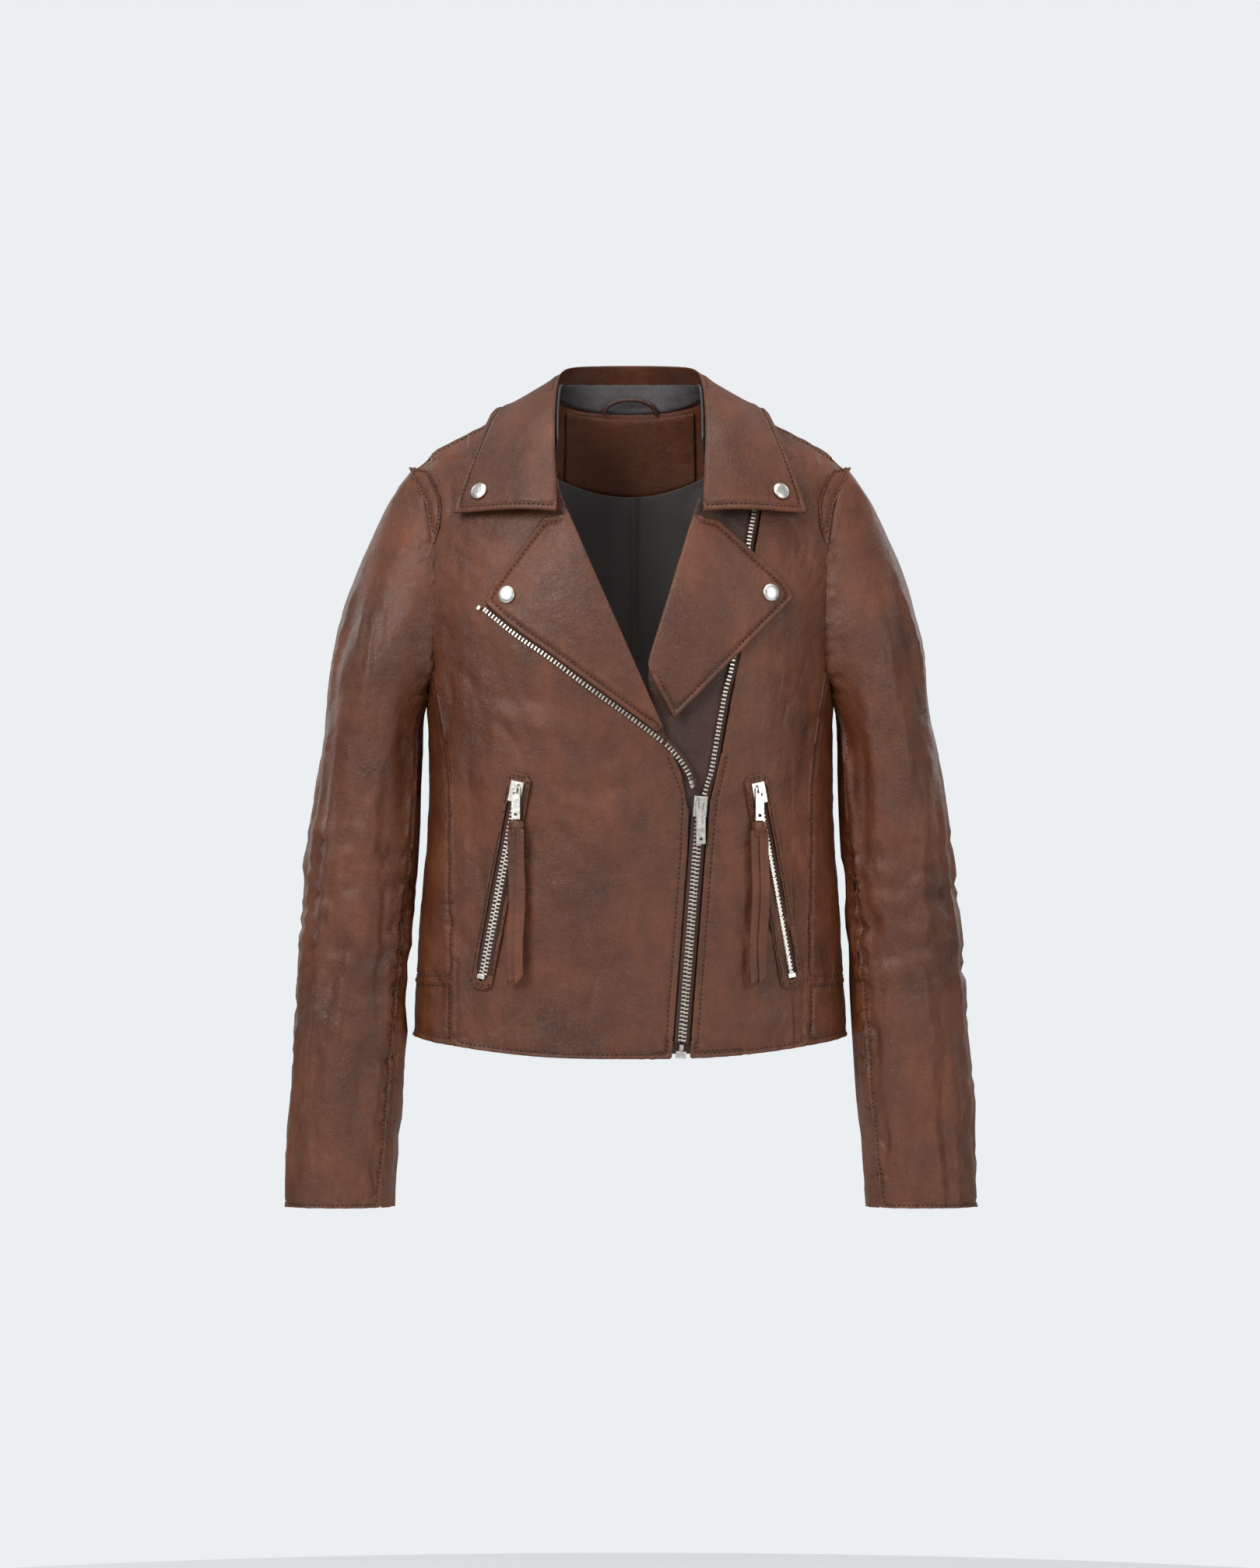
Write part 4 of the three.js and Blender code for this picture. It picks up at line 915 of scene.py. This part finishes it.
class JACKET_OT_stage(Piece, bpy.types.Operator):
    """Puts up the camera, the pale floor and the soft lights"""
    bl_idname = "jacket.stage"
    bl_label = "Stage"

    def make(self, s):
        scene = bpy.context.scene
        scene.view_settings.view_transform = "Standard"
        lens, view_height, plane_y, eye_z = 150.0, 1.290, -0.135, -0.3216
        floor_radius, floor_z = 1.7, -1.17
        camera = bpy.data.objects.new("camera", bpy.data.cameras.new("camera"))
        scene.collection.objects.link(camera)
        camera.data.lens = lens
        camera.data.sensor_width = 36.0
        camera.location = (0, plane_y - view_height * lens / camera.data.sensor_width, eye_z)
        camera.rotation_euler = (math.pi / 2, 0, 0)
        scene.camera = camera
        make_materials()
        backdrop, tree, here = start("seamless paper, pale")
        # Paper fibre in clumps of about 3 mm.
        speck = node(tree, "ShaderNodeTexNoise", [here], Scale=300, Detail=2)
        tint = ramp(tree, speck, 0, [(0.3, "e9ecee"), (0.7, s.backdrop_colour)])
        finish(tree, [("Base Color", tint)], Roughness=0.9)
        bm = bmesh.new()
        bmesh.ops.create_circle(bm, cap_ends=True, segments=96, radius=floor_radius,
                                matrix=Matrix.Translation((0, 0, floor_z)))
        mesh = bpy.data.meshes.new("floor")
        bm.to_mesh(mesh)
        bm.free()
        mesh.materials.append(backdrop)
        floor = bpy.data.objects.new("floor", mesh)
        scene.collection.objects.link(floor)
        world = bpy.data.worlds.new("studio")
        scene.world = world
        world.use_nodes = True
        sky = world.node_tree
        sky.nodes.clear()
        # The camera sees an even pale studio; the jacket is lit by a dimmer one.
        seen = node(sky, "ShaderNodeBackground", Color=linear(s.backdrop_colour), Strength=1.0)
        light = node(sky, "ShaderNodeBackground", Color=linear("f2f4f8"), Strength=0.36)
        ray = node(sky, "ShaderNodeLightPath")
        both = node(sky, "ShaderNodeMixShader", [(0, ray, 0), (1, light, 0), (2, seen, 0)])
        sky.links.new(both.outputs[0], node(sky, "ShaderNodeOutputWorld").inputs[0])
        middle = Vector((0, -0.05, -0.32))
        # name, place, width and height in metres, watts
        for name, where, size, power in (
                ("key", (-1.5, -2.3, 1.0), (1.1, 1.5), 58), ("fill", (1.9, -2.2, 0.2), (0.9, 1.8), 24),
                ("top", (0.0, -0.5, 1.7), (1.6, 0.8), 24), ("back_left", (-1.8, 1.8, 0.6), (1.0, 1.8), 16),
                ("back_right", (1.8, 1.8, 0.6), (1.0, 1.8), 16)):
            lamp = bpy.data.lights.new(name, "AREA")
            lamp.shape, lamp.size, lamp.size_y, lamp.energy = "RECTANGLE", *size, power
            made = bpy.data.objects.new(name, lamp)
            made.location = where
            made.rotation_euler = (middle - Vector(where)).to_track_quat("-Z", "Y").to_euler()
            scene.collection.objects.link(made)


class JACKET_OT_body(Piece, bpy.types.Operator):
    """Sews the leather fronts, back, sides, hem bands and shoulder strips"""
    bl_idname = "jacket.body"
    bl_label = "Body panels"

    def make(self, s):
        def placket(p):
            return p.y < -0.11 and 0.02 < p.x < 0.09 and p.z < -0.3

        def shoulder(p):
            return p.z > -0.09 and 0.075 < abs(p.x) < 0.17

        def side_seam(p):
            return -0.47 > p.z > -0.53 and abs(p.x) > 0.12

        for side, cut, area in (("right", (0.24, 0.60), 0.094), ("left", (0.15, 0.56), 0.046)):
            fit("front_panel_" + side, "nappa", cut, area, [
                Seam(5.4 * MM, placket), Seam(4.0 * MM, shoulder, roll=0.3 * MM),
                Seam(4.2 * MM, lambda p: p.z < HEM_LINE),
                Seam(3.5 * MM, side_seam, sewn=False)], levels=3)
        fit("back_panel", "nappa", (0.42, 0.57), 0.185, [
            Seam(4.5 * MM, lambda p: p.z < HEM_LINE),
            Seam(3.5 * MM, lambda p: p.z > -0.09 and abs(p.x) < 0.17)], levels=3)
        for side in SIDES:
            for name, seam, cut, area in (
                    ("side_panel_", Seam(3.5 * MM, lambda p: abs(p.x) < 0.2, groove=0.8 * MM),
                     (0.13, 0.26), 0.029),
                    ("hem_band_", Seam(4.6 * MM, groove=0.9 * MM), (0.14, 0.057), None),
                    ("shoulder_strip_", Seam(2.6 * MM, groove=0.6 * MM), (0.04, 0.075), 0.001)):
                fit(name + side, "nappa", cut, area, [seam])


class JACKET_OT_lining(Piece, bpy.types.Operator):
    """Hangs the satin lining and the facings inside the body"""
    bl_idname = "jacket.lining"
    bl_label = "Lining and facings"

    def make(self, s):
        for name, cut, area in (
                ("lining_front_right", (0.19, 0.50), 0.07),
                ("lining_front_left", (0.12, 0.47), 0.032),
                ("lining_back", (0.36, 0.48), 0.142),
                ("pocket_bag_right", (0.075, 0.18), None),
                ("pocket_bag_left", (0.052, 0.18), None)):
            fit(name, "satin", cut, area, slot="lining_satin", levels=4 if name == "lining_back" else 2)
        fit("back_neck_facing", "nappa", (0.12, 0.075), 0.0078)
        # The zip guard gets the darker copy of the nappa: painted shade for the shadowed gap behind the
        # zip and the lapels.
        fit("zip_guard", "nappa_painted_shade", (0.055, 0.49), None)


def armhole_join(vectors, rim):
    """Moves the head of a sleeve to meet the body panels at the armhole."""
    reach, tuck, furthest, crown_lift = 34 * MM, 1.2 * MM, 17 * MM, 8.5 * MM
    underarm_z = -0.245
    head = tree_of([p for p in rim if ARMHOLES.find(p)[2] < 6 * MM and p.z > underarm_z])
    rim_points = [v for v in vectors if head.find(v)[2] < 2.6 * MM]
    side = "right" if rim_points[0].x < 0 else "left"
    bm = bmesh.new()
    for word in ("front_panel_", "side_panel_"):
        bm.from_mesh(bpy.data.objects["leather_" + word + side].data)
    bm.from_mesh(bpy.data.objects["leather_back_panel"].data)
    body = BVHTree.FromBMesh(bm)
    bm.free()
    shifts = []
    for p in rim_points:
        hit = body.find_nearest(p)[0]
        shift = hit - p - Vector((math.copysign(tuck, p.x), 0, 0))
        shifts.append(shift if shift.length < furthest else shift.normalized() * furthest)
    crown = [Vector((math.copysign(0.2, p.x), 0, 1)) * crown_lift * (1 - ease(-p.z, 0.07, 0.13))
             for p in vectors]
    return spread(vectors, rim_points, shifts, 0, reach) + np.array(crown)


class JACKET_OT_sleeves(Piece, bpy.types.Operator):
    """Sets in the two-piece sleeves with their creases"""
    bl_idname = "jacket.sleeves"
    bl_label = "Sleeves"

    def make(self, s):
        for side, sign in (("right", -1), ("left", 1)):
            root = Vector((sign * 0.169, -0.045, -0.15))
            end = root + Vector((sign * 0.98, 0, -0.198)) * (45 * MM)
            for name, material, slot, cut, area, seams in (
                    ("sleeve_upper_", "nappa", "nappa_leather", (0.26, 0.61), 0.127,
                     [Seam(3.4 * MM, lambda p: p.z < -0.2, groove=0.8 * MM, roll=0.3 * MM)]),
                    ("sleeve_under_", "nappa", "nappa_leather", (0.09, 0.47), 0.033,
                     [Seam(3.0 * MM, lambda p: p.z < -0.22, groove=0.6 * MM, sewn=False)]),
                    ("sleeve_lining_", "satin", "lining_satin", (0.27, 0.50), 0.105, [])):
                made, stitches = sew(name + side, material, seams, levels=3 if "upper" in name else 2,
                                     slot=slot, join=None if "lining" in name else armhole_join)
                bend("sleeve_" + side, root, end, made, stitches)


class JACKET_OT_collar(Piece, bpy.types.Operator):
    """Sews the collar leaf and its stand, with the loop it hangs by"""
    bl_idname = "jacket.collar"
    bl_label = "Collar"

    def make(self, s):
        # The leaf is stitched along its free edges and not where it rolls at the neck.
        fit("collar_leaf", "nappa", (0.46, 0.10), 0.04, [
            Seam(4.6 * MM, lambda p: p.y > -0.06 or abs(p.x) > 0.078 or p.z < -0.093,
                 groove=1.0 * MM, roll=0.9 * MM)], crease=0.55)
        fit("collar_stand", "charcoal", (0.36, 0.03), 0.009, [
            Seam(3.4 * MM, lambda p: p.z > -0.035, groove=0.5 * MM, roll=0.2 * MM)],
            slot="charcoal_leather")
        # The loop gets the darker copy of the nappa: painted shade inside the back of the neck.
        made, _ = sew("hanger_loop", "nappa_painted_shade")
        ride("jacket", made)


def off_line(p, a, b):
    """How far p is, seen from the front, from the line through a and b."""
    d = (Vector(b) - Vector(a)).normalized()
    gap = Vector((p.x, p.z)) - Vector(a)
    return abs(gap.x * d.y - gap.y * d.x)


class JACKET_OT_lapels(Piece, bpy.types.Operator):
    """Sews the two lapels, which lie turned back on the fronts"""
    bl_idname = "jacket.lapels"
    bl_label = "Lapels"

    def make(self, s):
        # The roll line seen from the front, a point on the fold, the lapel's tip and the cut.
        for side, roll, fold, tip, cut in (
                ("right", ((-0.0585, -0.079), (0.031, -0.283)), (-0.02, -0.14, -0.18),
                 (-0.12, -0.13, -0.17), (0.15, 0.18)),
                ("left", ((0.059, -0.074), (0.0135, -0.224)), (0.033, -0.14, -0.17),
                 (0.137, -0.13, -0.165), (0.15, 0.17))):
            name = "lapel_" + side
            made, stitches = sew(name, "nappa", [
                Seam(4.6 * MM, lambda p, a=roll[0], b=roll[1]: off_line(p, a, b) > 9 * MM,
                     groove=1.0 * MM, roll=0.8 * MM)], crease=0.5)
            fold, tip = Vector(fold), Vector(tip)
            bend(name, fold, fold + (tip - fold).normalized() * (25 * MM), made, stitches)


class JACKET_OT_main_zip(Piece, bpy.types.Operator):
    """Lays the two tapes and rows of teeth of the front zip"""
    bl_idname = "jacket.main_zip"
    bl_label = "Front zip"

    def make(self, s):
        lapel_path = spline(LAPEL_ZIP)
        foot, head = Vector(ZIP_FOOT), Vector(ZIP_HEAD)
        closed = [tuple(foot.lerp(head, t)) for t in (0, 0.25, 0.5, 0.75, 0.93)]
        left_path = spline([*closed, *LEFT_ZIP])
        count = len(lapel_path)
        for name, path, hand, body, offset in (
                ("main_zip_lapel", lapel_path[:int(count * 0.8)], 1, "lapel_right", 0),
                ("main_zip_turn", lapel_path[int(count * 0.806):], 1, "jacket", 0.3),
                ("main_zip_right", spline([ZIP_HEAD, ZIP_FOOT]), -1, "jacket", 0.0),
                ("main_zip_left", left_path, -1, "jacket", 0.5)):
            frames = zip_frames(surface_of(name), path, hand)
            tape = zip_tape("tape_" + name, frames)
            teeth = zip_teeth("teeth_" + name, frames, offset, s.tooth_pitch)
            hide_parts(name)
            ride(body, tape, teeth)


def tied_knot(name, centre):
    """The strap tied on itself below the pull, a trefoil of flattened cord."""
    size, thick = 1.75 * MM, 1.5 * MM
    verts, steps, sides = [], 72, 8

    def at(t):
        return Vector((math.sin(t) + 2 * math.sin(2 * t), -0.75 * math.sin(3 * t),
                       1.15 * (math.cos(t) - 2 * math.cos(2 * t)))) * size + centre
    for i in range(steps):
        t = 2 * math.pi * i / steps
        p, along = at(t), (at(t + 0.02) - at(t - 0.02)).normalized()
        across = along.cross(Vector((0, 1, 0))).normalized()
        up = across.cross(along)
        for k in range(sides):
            a = 2 * math.pi * k / sides
            verts.append(p + across * math.cos(a) * thick * 1.15 + up * math.sin(a) * thick * 0.7)
    made = mesh_object(name, verts, tube_faces(0, steps, sides, closed=True), "nappa")
    fix_normals(made)
    return made


class JACKET_OT_pockets(Piece, bpy.types.Operator):
    """Sews the zipped side pockets with their welts and leather tassels"""
    bl_idname = "jacket.pockets"
    bl_label = "Pockets"

    def make(self, s):
        for side in SIDES:
            fit("pocket_welt_" + side, "nappa", (0.023, 0.178), 0.0024,
                [Seam(1.9 * MM, groove=0.4 * MM, roll=0.2 * MM)], crease=0.8)
            name = "pocket_zip_" + side
            top, foot = POCKETS[side]
            line = [tuple(Vector(foot).lerp(Vector(top), t)) for t in (0.02, 0.5, 0.98)]
            pieces = []
            for hand, offset in ((1, 0.0), (-1, 0.5)):
                frames = zip_frames(surface_of(name), spline(line), hand)
                word = name + ("_a" if hand > 0 else "_b")
                pieces.append(zip_tape("tape_" + word, frames))
                pieces.append(zip_teeth("teeth_" + word, frames, offset, s.tooth_pitch))
            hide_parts(name)
            ride("jacket", *pieces)
            made, _ = sew("pocket_tassel_" + side, "nappa", levels=3, crease=0.85)
            low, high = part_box("pocket_tassel_" + side)
            middle = (low + high) / 2
            knot = tied_knot("knot_" + side, Vector((middle.x, middle.y - 0.0002, high.z - 0.0058)))
            ride("pocket_tassel_" + side, made, knot)


HARD = ("main_slider", "main_pull", "zip_pin", "zip_box", "zip_stop", "pocket_stop", "pocket_slider",
        "pocket_pull", "snap_")


class JACKET_OT_metal(Piece, bpy.types.Operator):
    """Plates the sliders, pulls, stops and press snaps"""
    bl_idname = "jacket.metal"
    bl_label = "Metal trim"

    def make(self, s):
        for name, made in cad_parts.items():
            if not name.startswith(HARD):
                continue
            made.data.materials.clear()
            made.data.materials.append(MATERIALS["nickel"])
            round_piece = name.startswith("snap_")
            made.data.polygons.foreach_set("use_smooth", [round_piece] * len(made.data.polygons))
            weld = made.modifiers.new("weld", "WELD")
            weld.merge_threshold = 0.002 * MM
            if round_piece:
                continue
            bevel = made.modifiers.new("rounded edges", "BEVEL")
            bevel.width, bevel.segments, bevel.limit_method = 0.22 * MM, 2, "ANGLE"
            bevel.angle_limit = math.radians(40)


class JACKET_PT_panel(bpy.types.Panel):
    """Lists the jacket's pieces in the sidebar"""
    bl_idname = "JACKET_PT_panel"
    bl_label = "Jacket"
    bl_space_type = "VIEW_3D"
    bl_region_type = "UI"
    bl_category = "Jacket"

    def draw(self, context):
        column = self.layout.column()
        for key in JacketSettings.__annotations__:
            column.prop(context.scene.jacket, key)
        for operator in OPERATORS:
            column.operator(operator.bl_idname)


OPERATORS = (JACKET_OT_stage, JACKET_OT_body, JACKET_OT_lining, JACKET_OT_sleeves, JACKET_OT_collar,
             JACKET_OT_lapels, JACKET_OT_main_zip, JACKET_OT_pockets, JACKET_OT_metal)


def register():
    for each in (JacketSettings, *OPERATORS, JACKET_PT_panel):
        bpy.utils.register_class(each)
    bpy.types.Scene.jacket = bpy.props.PointerProperty(type=JacketSettings)


def unregister():
    del bpy.types.Scene.jacket
    for each in reversed((JacketSettings, *OPERATORS, JACKET_PT_panel)):
        bpy.utils.unregister_class(each)


def main():
    register()
    for operator in OPERATORS:
        group, name = operator.bl_idname.split(".")
        if getattr(getattr(bpy.ops, group), name)() != {"FINISHED"}:
            raise RuntimeError(operator.bl_label + " did not finish")
    bpy.context.view_layer.update()


if __name__ == "__main__":
    main()
